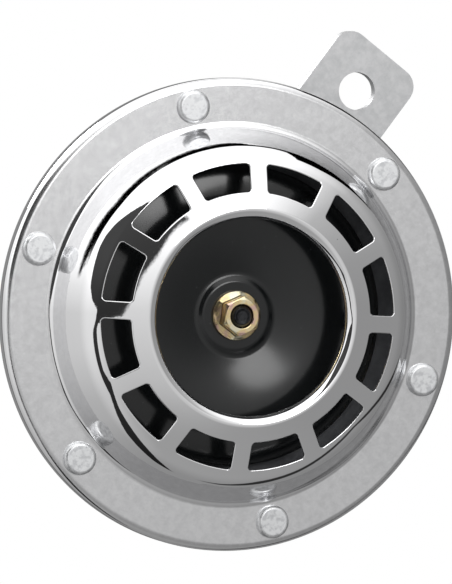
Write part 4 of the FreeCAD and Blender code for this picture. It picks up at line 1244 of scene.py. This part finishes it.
@dataclass
class ToneDisc:
    """The spun disc that gives the tone: flat hub, a long shallow rise and a rounder fall to the rim."""

    sheet: float = 1.2
    hole: float = 3.1
    hub: Triple = (9.6, 2.8, 2.2)
    foot: Triple = (11.6, 2.03, 3.0)
    crest: Pair = (33.0, 4.6)
    inner_arch: float = 90.0
    outer_arch: float = 40.0
    arch_start: float = 13.4
    rim: float = 42.5
    edge_round: float = 0.35
    arch_steps: int = 20
    hub_steps: int = 8
    segments: int = 180

    def arch_point(self, radius: float) -> Sample:
        """Finds where the arch lies and faces at a radius.

        Args:
            radius: The radius.

        Returns:
            Place and normal.
        """
        arch = self.inner_arch if radius < self.crest[0] else self.outer_arch
        lean = (radius - self.crest[0]) / arch
        rise = math.sqrt(1 - lean * lean)
        return (radius, self.crest[1] - arch * (1 - rise)), (lean, rise)

    def build(self, paint: Paintbox) -> bpy.types.Object:
        """Spins the disc and dresses it.

        Args:
            paint: The finishes.

        Returns:
            The finished piece.
        """
        last = self.rim - self.edge_round
        stride = (last - self.arch_start) / self.arch_steps
        arch = [self.arch_point(self.arch_start + stride * step) for step in range(self.arch_steps + 1)]
        hub = [(self.hole, self.hub[1], 0.0), self.hub, self.foot, (*arch[0][0], 0.0)]
        run = round_sheet(rounded(hub, self.hub_steps)[:-1] + arch, self.sheet, self.edge_round)
        skin = Skin()
        rings = [skin.ring(point, normal, self.segments) for point, normal in run]
        skin.loft(rings, clockwise=True, closed=True)
        return fit(skin.build("spun_tone_disc"), Body.TONE_UNIT, "tone_disc", "black_enamel", paint)


@dataclass
class FlangeNut:
    """The tone disc's hexagon nut: sloping flange, softened corners, turned top and countersunk bore."""

    seat: float = 2.8
    top: float = 8.9
    flange_radius: float = 7.1
    flange_edge: float = 1.0
    flange_slope: float = 0.571
    across_flats: float = 10.0
    corner_round: float = 0.45
    turned_radius: float = 4.72
    turned_slope: float = 0.577
    sink_radius: float = 3.5
    sink_depth: float = 0.8
    bore: float = 3.05
    corner_steps: int = 4
    side_steps: int = 6

    def hexagon(self) -> list[Sample]:
        """Follows the hexagon with its rounded corners.

        Returns:
            Place and facing of each sample.
        """
        sixth = math.pi / 3
        reach = (self.across_flats / 2 - self.corner_round) / math.cos(sixth / 2)
        samples: list[Sample] = []
        for corner in range(6):
            middle = corner * sixth
            for step in range(self.corner_steps + 1):
                turn = middle + sixth * (step / self.corner_steps - 0.5)
                facing = (math.cos(turn), math.sin(turn))
                x = reach * math.cos(middle) + self.corner_round * facing[0]
                y = reach * math.sin(middle) + self.corner_round * facing[1]
                samples.append(((x, y), facing))
            start, facing = samples[-1]
            along = (-facing[1], facing[0])
            for step in range(1, self.side_steps):
                run = reach * step / self.side_steps
                samples.append(((start[0] + along[0] * run, start[1] + along[1] * run), facing))
        return samples

    def build(self, paint: Paintbox) -> bpy.types.Object:
        """Makes the nut and dresses it.

        Args:
            paint: The finishes.

        Returns:
            The finished piece.
        """
        skin = Skin()
        outline = self.hexagon()

        def slope(radius: float) -> float:
            """Height of the flange's sloping face."""
            return self.seat + self.flange_edge + (self.flange_radius - radius) * self.flange_slope

        def turned(radius: float) -> float:
            """Height of the cone that turns the hexagon's corners off."""
            return self.top - (radius - self.turned_radius) * self.turned_slope

        def circle(radius: float, height: float, normal: Pair) -> list[int]:
            """Adds a round row, sample for sample in line with the hexagon.

            Args:
                radius: Its radius.
                height: Its height.
                normal: Radial and forward part of its normal.

            Returns:
                Numbers of its vertices.
            """
            samples = []
            for (x, y), _ in outline:
                far = math.hypot(x, y)
                point = (x / far * radius, y / far * radius, height)
                samples.append((point, (x / far * normal[0], y / far * normal[0], normal[1])))
            return skin.row(samples)

        def prism(offset: float, height: Callable[[float], float], lift: float, normal: Pair) -> list[int]:
            """Adds a six-sided row.

            Args:
                offset: How far outside the hexagon it lies.
                height: Gives the height at a radius.
                lift: What is added to that height.
                normal: Outward and forward part of its normal.

            Returns:
                Numbers of its vertices.
            """
            samples = []
            for (x, y), (ox, oy) in outline:
                px, py = x + ox * offset, y + oy * offset
                point = (px, py, height(math.hypot(px, py)) + lift)
                samples.append((point, (ox * normal[0], oy * normal[0], normal[1])))
            return skin.row(samples)

        rim, foot, up = self.flange_radius, self.seat + self.flange_edge, (0.0, 1.0)
        leaning, cone = (self.flange_slope, 1.0), (self.turned_slope, 1.0)
        # From the seat round the flange, up the flats and down the bore; the small numbers soften each edge
        rows = [
            circle(self.bore, self.seat, (0.0, -1.0)),
            circle(rim - 0.2, self.seat, (0.0, -1.0)),
            circle(rim - 0.06, self.seat + 0.06, (0.7, -0.7)),
            circle(rim, self.seat + 0.2, (1.0, 0.0)),
            circle(rim, foot - 0.22, (1.0, 0.0)),
            circle(rim - 0.07, foot - 0.02, (0.85, 0.5)),
            circle(rim - 0.25, slope(rim - 0.25), leaning),
            prism(0.85, slope, 0.0, leaning),
            prism(0.45, slope, 0.0, leaning),
            prism(0.2, slope, 0.0, leaning),
            prism(0.06, slope, 0.03, (1.0, 0.5)),
            prism(0.0, slope, 0.16, (1.0, 0.0)),
            prism(0.0, turned, -0.16, (1.0, 0.0)),
            prism(-0.03, turned, -0.03, (1.0, 0.5)),
            prism(-0.1, turned, 0.0, cone),
            circle(self.turned_radius + 0.08, turned(self.turned_radius + 0.08), cone),
            circle(self.turned_radius - 0.06, self.top, up),
            circle(self.sink_radius + 0.1, self.top, up),
            circle(self.sink_radius, self.top - 0.04, (-0.6, 0.8)),
            circle(self.bore + 0.08, self.top - self.sink_depth, (-0.9, 0.45)),
            circle(self.bore, self.top - self.sink_depth - 0.12, (-1.0, 0.0)),
        ]
        skin.loft(rows, closed=True)
        return fit(skin.build("flange_nut"), Body.TONE_UNIT, "tone_disc_nut", "yellow_zinc", paint)


@dataclass
class Thread:
    """A rolled thread between two heights.

    Attributes:
        radius: Radius over its crests.
        pitch: Distance from one crest to the next.
        depth: How far the root lies under the crest.
        front: Height where it starts.
        back: Height where it ends.
        steps_a_turn: Rows of vertices in one pitch.
        steepness: How steep its flanks are, where 1 makes them meet in sharp edges.
        flat: How wide the flat of its root is, as a share of its depth.
        nudge: Distance, or angle in radians, over which its slope is taken.
    """

    radius: float
    pitch: float
    depth: float
    front: float
    back: float
    steps_a_turn: int = 8
    steepness: float = 1.35
    flat: float = 0.15
    nudge: float = 0.01

    def reach(self, height: float, angle: float) -> float:
        """Finds the thread's radius at one place; it runs out over one turn at each end.

        Args:
            height: Height along the axis.
            angle: Angle round it, in radians.

        Returns:
            The radius.
        """
        phase = (height / self.pitch - angle / math.tau) % 1.0
        ridge = min(1.0, max(0.0, abs(2 * phase - 1) * self.steepness - self.flat))
        fade = max(0.0, min(1.0, (self.front - height) / self.pitch, (height - self.back) / self.pitch))
        return self.radius - self.depth * (1 - ridge) * fade

    def rows(self, skin: Skin, steps: int) -> list[list[int]]:
        """Adds the thread's rows of vertices.

        Args:
            skin: The mesh being made.
            steps: Vertices of a row.

        Returns:
            Numbers of each row's vertices, front first.
        """
        tiny = self.nudge
        count = math.ceil((self.front - self.back) / self.pitch * self.steps_a_turn)
        rows = []
        for index in range(count + 1):
            height = self.front + (self.back - self.front) * index / count
            samples = []
            for step in range(steps):
                angle = math.tau * step / steps
                cosine, sine = math.cos(angle), math.sin(angle)
                radius = self.reach(height, angle)
                rise = (self.reach(height + tiny, angle) - self.reach(height - tiny, angle)) / (2 * tiny)
                turn = self.reach(height, angle + tiny) - self.reach(height, angle - tiny)
                turn /= 2 * tiny * radius
                normal = (cosine + turn * sine, sine - turn * cosine, -rise)
                samples.append(((radius * cosine, radius * sine, height), normal))
            rows.append(skin.row(samples))
        return rows


@dataclass
class TurnedStud:
    """A turned piece with a rolled thread on part of its length.

    Attributes:
        name: The piece's name.
        node: The node that it stands for.
        body: The body that it rides on.
        slot: The record's slot of its finish.
        before: Outline from the axis in front to the thread: radius, height and bend of each corner.
        thread: The thread.
        after: Outline from the thread to the axis behind.
        steps: Vertices of a row.
    """

    name: str
    node: str
    body: Body
    slot: str
    before: tuple[Triple, ...]
    thread: Thread
    after: tuple[Triple, ...]
    steps: int = 96

    def build(self, paint: Paintbox) -> bpy.types.Object:
        """Turns the piece and dresses it.

        Args:
            paint: The finishes.

        Returns:
            The finished piece.
        """
        skin = Skin()
        head = rounded([*self.before, (self.thread.radius, self.thread.front, 0.0)])
        tail = rounded([(self.thread.radius, self.thread.back, 0.0), *self.after])
        rows = [skin.ring(point, normal, self.steps) for point, normal in head[:-1]]
        rows += self.thread.rows(skin, self.steps)
        rows += [skin.ring(point, normal, self.steps) for point, normal in tail[1:]]
        skin.loft(rows, clockwise=True)
        return fit(skin.build(self.name), self.body, self.node, self.slot, paint)


def front_and_back(node: str) -> Pair:
    """Heights of a node's front and back in the horn's frame, in millimetres."""
    low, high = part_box(node)
    return HORN.face_y - low[1] / MM, HORN.face_y - high[1] / MM


def tone_stud() -> TurnedStud:
    """Plans the blackened stud in the nut: dished end with a rolled rim, and its head in the plunger.

    Returns:
        The stud.
    """
    front, back = front_and_back("armature_stud")
    return TurnedStud(
        name="threaded_tone_stud",
        node="armature_stud",
        body=Body.TONE_UNIT,
        slot="black_oxide",
        before=(
            (0.0, front - 0.3, 0.0),
            (1.5, front - 0.3, 0.4),
            (2.05, front, 0.22),
            (2.35, front, 0.2),
            (3.0, front - 0.85, 0.2),
        ),
        thread=Thread(radius=3.0, pitch=1.0, depth=0.45, front=front - 1.0, back=front - 4.5),
        after=((3.0, back + 1.8, 0.1), (4.8, back + 1.8, 0.3), (4.8, back, 0.2), (0.0, back, 0.0)),
    )


def core_stud() -> TurnedStud:
    """Plans the magnet's core with the threaded stud that carries the horn on its strip.

    Returns:
        The core.
    """
    front, back = front_and_back("pole_core")
    return TurnedStud(
        name="threaded_core_stud",
        node="pole_core",
        body=Body.HORN,
        slot="soft_iron",
        before=((0.0, front, 0.0), (9.0, front, 0.3), (9.0, back + 15.1, 0.3), (4.0, back + 15.1, 0.3)),
        thread=Thread(radius=4.0, pitch=1.25, depth=0.6, front=back + 9.5, back=back + 0.7),
        after=((4.0, back + 0.62, 0.1), (3.4, back, 0.15), (0.0, back, 0.0)),
    )


# Carried nodes


@dataclass
class CarriedNodes:
    """The CAD pieces whose own shape is right: each takes the finish of its record slot."""

    replaced: tuple[str, ...] = ("front_grille", "tone_disc", "tone_disc_nut", "armature_stud", "pole_core")

    def dress(self, frame: dict[str, Any], paint: Paintbox) -> None:
        """Gives every carried node its finish.

        Args:
            paint: The finishes.
        """
        slots = {part["node"]: part["material_slot"] for part in frame["record"]["subparts"]}
        for name, node in sorted(frame["nodes"].items()):
            if name in self.replaced:
                continue
            for slot in node.material_slots:
                slot.material = paint.get(slots[name])
            LOG.info("dressed %s as %s", name, slots[name])


# The studio


@dataclass(frozen=True)
class Shade:
    """A dark stretch of the studio between its white panels, seen only as a dark shape in the metal.

    Attributes:
        stations: A bearing round the horn's axis in the photograph's degrees, and how far off the axis, in
            degrees, the dark starts and ends there.
        depth: Share of the light that it takes.
        soft: Half the width of its edge, in degrees.
        least_first: Least light that it leaves in a first reflection.
        least_again: Least light that it leaves in a second one, which comes from nearer the panels.
        end_soft: Half the width of its first and last station's fading, in degrees.
    """

    stations: tuple[Triple, ...]
    depth: float
    soft: float
    least_first: float = 0.0
    least_again: float = 0.0
    end_soft: float = 2.0


@dataclass(frozen=True)
class Lamp:
    """A square soft lamp that points at the horn.

    Attributes:
        name: The lamp's name.
        way: Direction from the horn to the lamp, in the photograph's own axes.
        distance: How far away it hangs, in metres.
        size: Side of its face, in metres.
        power: Its power in watts.
    """

    name: str
    way: Triple
    distance: float
    size: float
    power: float


@dataclass
class Studio:
    """The pale floor, the painted tent of panels, the lamps and the camera.

    A table of stops gives the level of light at each place; a span gives where a change starts and ends, and
    the levels there. Places are bearings round the horn's axis or degrees off it, or shares of a direction.
    The camera's own sizes are its distance in millimetres, its bearing to the left of the axis and rise over
    it in degrees, and the pixel of the picture that the axis falls on.
    """

    camera_distance: float = 1500.0
    camera_bearing: float = 17.69
    camera_rise: float = 2.54
    lens: float = 327.3
    sensor: float = 36.0
    clip: Pair = (0.05, 20.0)
    picture: tuple[int, int] = (452, 584)
    axis_pixel: Pair = (232.77, 315.0)
    floor_drop: float = 600.0
    floor_half: float = 3.0
    floor_colour: str = "#E8E8E8"
    lamps: tuple[Lamp, ...] = (
        Lamp("softbox_over_camera", way=(0.155, 0.29, 0.94), distance=1.3, size=0.38, power=2.1),
        Lamp("softbox_behind", way=(-0.45, 0.6, -0.66), distance=1.4, size=0.6, power=12.0),
    )
    seam: float = 270.0
    # White panels stand above and to the left, grey cards below and to the right
    panel_stops: tuple[Pair, ...] = (
        (-90, 0.36), (-60, 0.34), (-40, 0.31), (0, 0.31), (14, 0.35), (24, 0.43), (33, 0.52), (40, 0.80),
        (46, 1.02), (54, 1.30), (66, 1.65), (150, 1.65), (160, 1.45), (168, 1.15), (180, 0.86), (196, 0.82),
        (208, 0.72), (218, 0.62), (228, 0.57), (240, 0.46), (255, 0.37), (270, 0.36),
    )
    panel_span: Span = (66.0, 112.0, 1.0, 0.80)
    # In front the light falls from the top panel to the cards, and towards the right
    front_stops: tuple[Pair, ...] = (
        (-1.0, 0.33), (-0.46, 0.50), (0.0, 0.76), (0.2, 1.03), (0.3, 1.17), (0.5, 1.3),
    )
    right_span: Span = (0.0, 0.7, 0.0, 0.27)
    front_span: Span = (22.0, 40.0, 0.0, 1.0)
    # The dark of the room shows past the tent's edge, and a pale wall stands straight behind
    room_stops: tuple[Pair, ...] = ((120.0, 0.08), (160.0, 0.08), (172.0, 0.6))
    room_span: Span = (136.0, 150.0, 0.0, 1.0)
    # The camera with its stand and cloth, which curve down to the lower left
    stand: Shade = Shade(
        (
            (92, 26, 26.5), (103, 24, 30), (116, 20.5, 38), (124, 19, 49), (131, 18.7, 60), (138, 18.5, 73),
            (144, 18.5, 81), (149, 18.5, 83), (157, 18.5, 77), (168, 19, 69), (174, 20, 55), (179, 21, 33),
            (184, 22, 38), (190, 36, 51), (200, 39, 54), (211, 42, 56), (221, 34, 55), (228, 51, 73),
            (236, 61, 91), (245, 76, 101), (254, 95, 111), (262, 112, 114),
        ),
        depth=0.96,
        soft=0.8,
        least_again=0.85,
    )
    # The table's edge under the upper panels, and the gap where they end
    table_edge: Shade = Shade(
        (
            (7, 136.5, 137.5), (11, 136, 138.6), (18, 130, 136.5), (26, 115.5, 134), (35, 103.5, 131.5),
            (45, 92, 130), (51, 90, 128), (54, 90, 127), (55.6, 110, 126), (60, 112, 123), (67, 112, 121),
            (79, 113, 118.2), (91, 112.3, 115.4), (104, 111.1, 113.3), (116, 108.7, 111.1), (129, 103, 109.4),
            (143, 105.5, 109), (156, 106, 108.4), (164, 107, 108),
        ),
        depth=1.0,
        soft=0.7,
    )
    # A thin fold between the two grey cards at the lower right
    card_fold: Shade = Shade(
        (
            (-88, 107, 107.5), (-80, 104, 110), (-68, 91, 106), (-55, 85, 98), (-41, 71, 80), (-34, 66, 73),
            (-30, 72, 84), (-20, 101, 116), (-10, 127, 135), (-4, 132, 132.2),
        ),
        depth=0.9,
        soft=1.8,
    )
    # The gap over the camera that the wall's foot shows by way of the flange, so in second reflections only
    panel_gap: Shade = Shade(
        (
            (10, 42, 43.5), (18, 43.5, 50), (26, 46.5, 59.5), (35, 50, 63), (45, 52, 64), (56, 55, 64),
            (67, 58.5, 63.5), (79, 61.5, 63.5),
        ),
        depth=0.9,
        soft=0.8,
        least_first=1.0,
    )

    def aim(self, bearing: float) -> Vector:
        """Direction across the horn's axis at a bearing of the photograph, in the row frame."""
        angle = math.radians(bearing + HORN.photo_turn)
        return HORN.aim(math.cos(angle), math.sin(angle), 0.0)

    @staticmethod
    def levels(tree: Tree, value: Any, reach: Pair, table: Sequence[tuple[float, Any]]) -> Socket:
        """Reads a table of stops along a value; past its ends the last one holds.

        Args:
            tree: The node tree.
            value: Where the table is read.
            reach: Values at the table's start and end.
            table: Places between them, with the level or the three levels there.

        Returns:
            The level, or the three levels as a colour.
        """
        low, high = reach
        stops = []
        for place, level in table:
            colour = level if isinstance(level, tuple) else (level, level, level)
            stops.append(((place - low) / (high - low), (*colour, 1.0)))
        share = add(tree, Kind.RANGE, (value, low, high, 0.0, 1.0))
        return add(tree, Kind.RAMP, {"Fac": share}, stops).outputs["Color"]

    def paint_world(self) -> None:
        """Paints the tent of panels that the metal mirrors, and the white that the camera sees."""
        world = bpy.data.worlds.new("studio")
        bpy.context.scene.world = world
        world.use_nodes = True
        tree = world.node_tree
        tree.nodes.clear()
        view = add(tree, Kind.COORDINATES).outputs["Generated"]
        opposite = self.seam - 180.0
        sideways, straight, ahead = self.aim(opposite + 90.0), self.aim(opposite), HORN.aim(0.0, 0.0, 1.0)
        across, along, out, up, right = [
            add(tree, Kind.VECTOR, (view, way), operation="DOT_PRODUCT").outputs["Value"]
            for way in (sideways, straight, ahead, self.aim(90.0), self.aim(0.0))
        ]
        turn = add(tree, Kind.MATH, (across, along), operation="ARCTAN2")
        turn = add(tree, Kind.MATH, (turn,), operation="DEGREES")
        bearing = add(tree, Kind.MATH, (turn, opposite), operation="ADD")
        lean = add(tree, Kind.MATH, (out,), operation="ARCCOSINE")
        off = add(tree, Kind.MATH, (lean,), operation="DEGREES")
        panels = self.levels(tree, bearing, (self.seam - 360.0, self.seam), self.panel_stops)
        farther = add(tree, Kind.RANGE, (off, *self.panel_span), **SOFTLY)
        panels = add(tree, Kind.MATH, (panels, farther), operation="MULTIPLY")
        front = self.levels(tree, up, (-1.0, 1.0), self.front_stops)
        side = add(tree, Kind.RANGE, (right, *self.right_span), **SOFTLY)
        front = add(tree, Kind.MATH, (front, side), operation="SUBTRACT")
        near = add(tree, Kind.RANGE, (off, *self.front_span), **SOFTLY)
        total = add(tree, Kind.MIX, {0: near, 2: front, 3: panels}, data_type="FLOAT")
        path = add(tree, Kind.LIGHT_PATH).outputs
        again = add(tree, Kind.MATH, (path["Glossy Depth"], 1.5), operation="GREATER_THAN")
        for shade in (self.stand, self.table_edge, self.card_fold, self.panel_gap):
            left = self.light_left(tree, shade, bearing, off, again)
            total = add(tree, Kind.MATH, (total, left), operation="MULTIPLY")
        room = self.levels(tree, off, (120.0, 180.0), self.room_stops)
        past = add(tree, Kind.RANGE, (off, *self.room_span), **SOFTLY)
        total = add(tree, Kind.MIX, {0: past, 2: total, 3: room}, data_type="FLOAT")
        total = add(tree, Kind.MIX, {0: path["Is Camera Ray"], 2: total, 3: 1.0}, data_type="FLOAT")
        background = add(tree, Kind.BACKGROUND, {"Color": (1, 1, 1, 1), "Strength": total})
        add(tree, Kind.WORLD_OUTPUT, {"Surface": background})

    def light_left(self, tree: Tree, shade: Shade, bearing: Node, off: Node, again: Node) -> Node:
        """How much light one dark stretch leaves: 1 away from it, nearly 0 inside.

        Args:
            tree: The world's node tree.
            shade: The dark stretch.
            bearing: Direction round the axis, in degrees.
            off: Degrees off the axis.
            again: 1 for a second reflection, 0 for a first.

        Returns:
            The share that is left.
        """
        half_turn = 180.0
        table = [(place, (start / half_turn, end / half_turn, 0.0)) for place, start, end in shade.stations]
        edges = self.levels(tree, bearing, (self.seam - 360.0, self.seam), table)
        edges = add(tree, Kind.CHANNELS, (edges,)).outputs
        start = add(tree, Kind.MATH, (edges[0], half_turn), operation="MULTIPLY")
        end = add(tree, Kind.MATH, (edges[1], half_turn), operation="MULTIPLY")
        past_start = add(tree, Kind.MATH, (off, start), operation="SUBTRACT")
        before_end = add(tree, Kind.MATH, (end, off), operation="SUBTRACT")
        first, last = shade.stations[0][0], shade.stations[-1][0]
        spans = (
            (past_start, -shade.soft, shade.soft, 0.0, 1.0),
            (before_end, -shade.soft, shade.soft, 0.0, 1.0),
            (bearing, first - shade.end_soft, first + shade.end_soft, 0.0, 1.0),
            (bearing, last - shade.end_soft, last + shade.end_soft, 1.0, 0.0),
        )
        begun, going, entered, staying = [add(tree, Kind.RANGE, span, **SOFTLY) for span in spans]
        dark = add(tree, Kind.MATH, (begun, going), operation="MULTIPLY")
        inside = add(tree, Kind.MATH, (entered, staying), operation="MULTIPLY")
        dark = add(tree, Kind.MATH, (dark, inside), operation="MULTIPLY")
        taken = add(tree, Kind.MATH, (dark, shade.depth), operation="MULTIPLY")
        left = add(tree, Kind.MATH, (1.0, taken), operation="SUBTRACT")
        more = shade.least_again - shade.least_first
        least = add(tree, Kind.MATH, (again, more, shade.least_first), operation="MULTIPLY_ADD")
        return add(tree, Kind.MATH, (left, least), operation="MAXIMUM")

    def lay_floor(self) -> None:
        """Lays a pale floor well under the horn, white to the camera."""
        low, half = HORN.axis_z * MM - self.floor_drop * MM, self.floor_half
        corners = [(x, y, low) for x, y in ((-half, -half), (half, -half), (half, half), (-half, half))]
        mesh = bpy.data.meshes.new("floor")
        mesh.from_pydata(corners, [], [(0, 1, 2, 3)])
        floor = bpy.data.objects.new("floor", mesh)
        bpy.context.scene.collection.objects.link(floor)
        material = bpy.data.materials.new("pale_floor")
        material.use_nodes = True
        tree = material.node_tree
        tree.nodes.clear()
        shade = add(tree, Kind.DIFFUSE, {"Color": linear(self.floor_colour)})
        glow = add(tree, Kind.EMISSION, {"Color": (1, 1, 1, 1), "Strength": 1.0})
        seen = add(tree, Kind.LIGHT_PATH).outputs["Is Camera Ray"]
        add(tree, Kind.MATERIAL_OUTPUT, {"Surface": add(tree, Kind.SHADER_MIX, (seen, shade, glow))})
        mesh.materials.append(material)
        floor.visible_glossy = False

    def hang(self, lamp: Lamp) -> None:
        """Hangs one lamp so that it points at the horn.

        Args:
            lamp: The lamp.
        """
        light = bpy.data.lights.new(lamp.name, "AREA")
        light.shape = "SQUARE"
        light.size = lamp.size
        light.energy = lamp.power
        box = bpy.data.objects.new(lamp.name, light)
        bpy.context.scene.collection.objects.link(box)
        right, up, out = lamp.way
        direction = (self.aim(0.0) * right + self.aim(90.0) * up + HORN.aim(0, 0, 1) * out).normalized()
        box.location = HORN.place(0.0, 0.0, 0.0) + direction * lamp.distance
        box.rotation_mode = "QUATERNION"
        box.rotation_quaternion = direction.to_track_quat("Z", "Y")

    def set_camera(self) -> None:
        """Stands the camera where the photograph was taken from."""
        bearing, rise = math.radians(self.camera_bearing), math.radians(self.camera_rise)
        back = (
            self.aim(0.0) * (-math.sin(bearing) * math.cos(rise))
            + self.aim(90.0) * math.sin(rise)
            + HORN.aim(0, 0, 1) * (math.cos(bearing) * math.cos(rise))
        ).normalized()
        right = self.aim(90.0).cross(back).normalized()
        upward = back.cross(right)
        data = bpy.data.cameras.new("camera")
        data.sensor_fit = "AUTO"
        data.sensor_width = self.sensor
        data.lens = self.lens
        data.clip_start, data.clip_end = self.clip
        long_side = max(self.picture)
        data.shift_x = (self.picture[0] / 2 - self.axis_pixel[0]) / long_side
        data.shift_y = (self.axis_pixel[1] - self.picture[1] / 2) / long_side
        camera = bpy.data.objects.new("camera", data)
        bpy.context.scene.collection.objects.link(camera)
        turn = Matrix((right, upward, back)).transposed().to_4x4()
        stand = HORN.place(0, 0, 0) + back * self.camera_distance * MM
        camera.matrix_world = Matrix.Translation(stand) @ turn
        bpy.context.scene.camera = camera

    def build(self) -> None:
        """Sets the whole studio up."""
        bpy.context.scene.view_settings.view_transform = "Standard"
        self.paint_world()
        self.lay_floor()
        for lamp in self.lamps:
            self.hang(lamp)
        self.set_camera()


def main() -> None:
    """Builds the dressed horn in its studio."""
    logging.basicConfig(level=logging.INFO, format="%(name)s: %(message)s")
    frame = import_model()
    paint = Paintbox()
    builders: tuple[Callable[[Paintbox], bpy.types.Object], ...] = (
        GrillePressing().build,
        ToneDisc().build,
        FlangeNut().build,
        tone_stud().build,
        core_stud().build,
    )
    for build in builders:
        piece = build(paint)
        LOG.info("built %s with %d faces", piece.name, len(piece.data.polygons))
    CarriedNodes().dress(frame, paint)
    Studio().build()


if __name__ == "__main__":
    main()
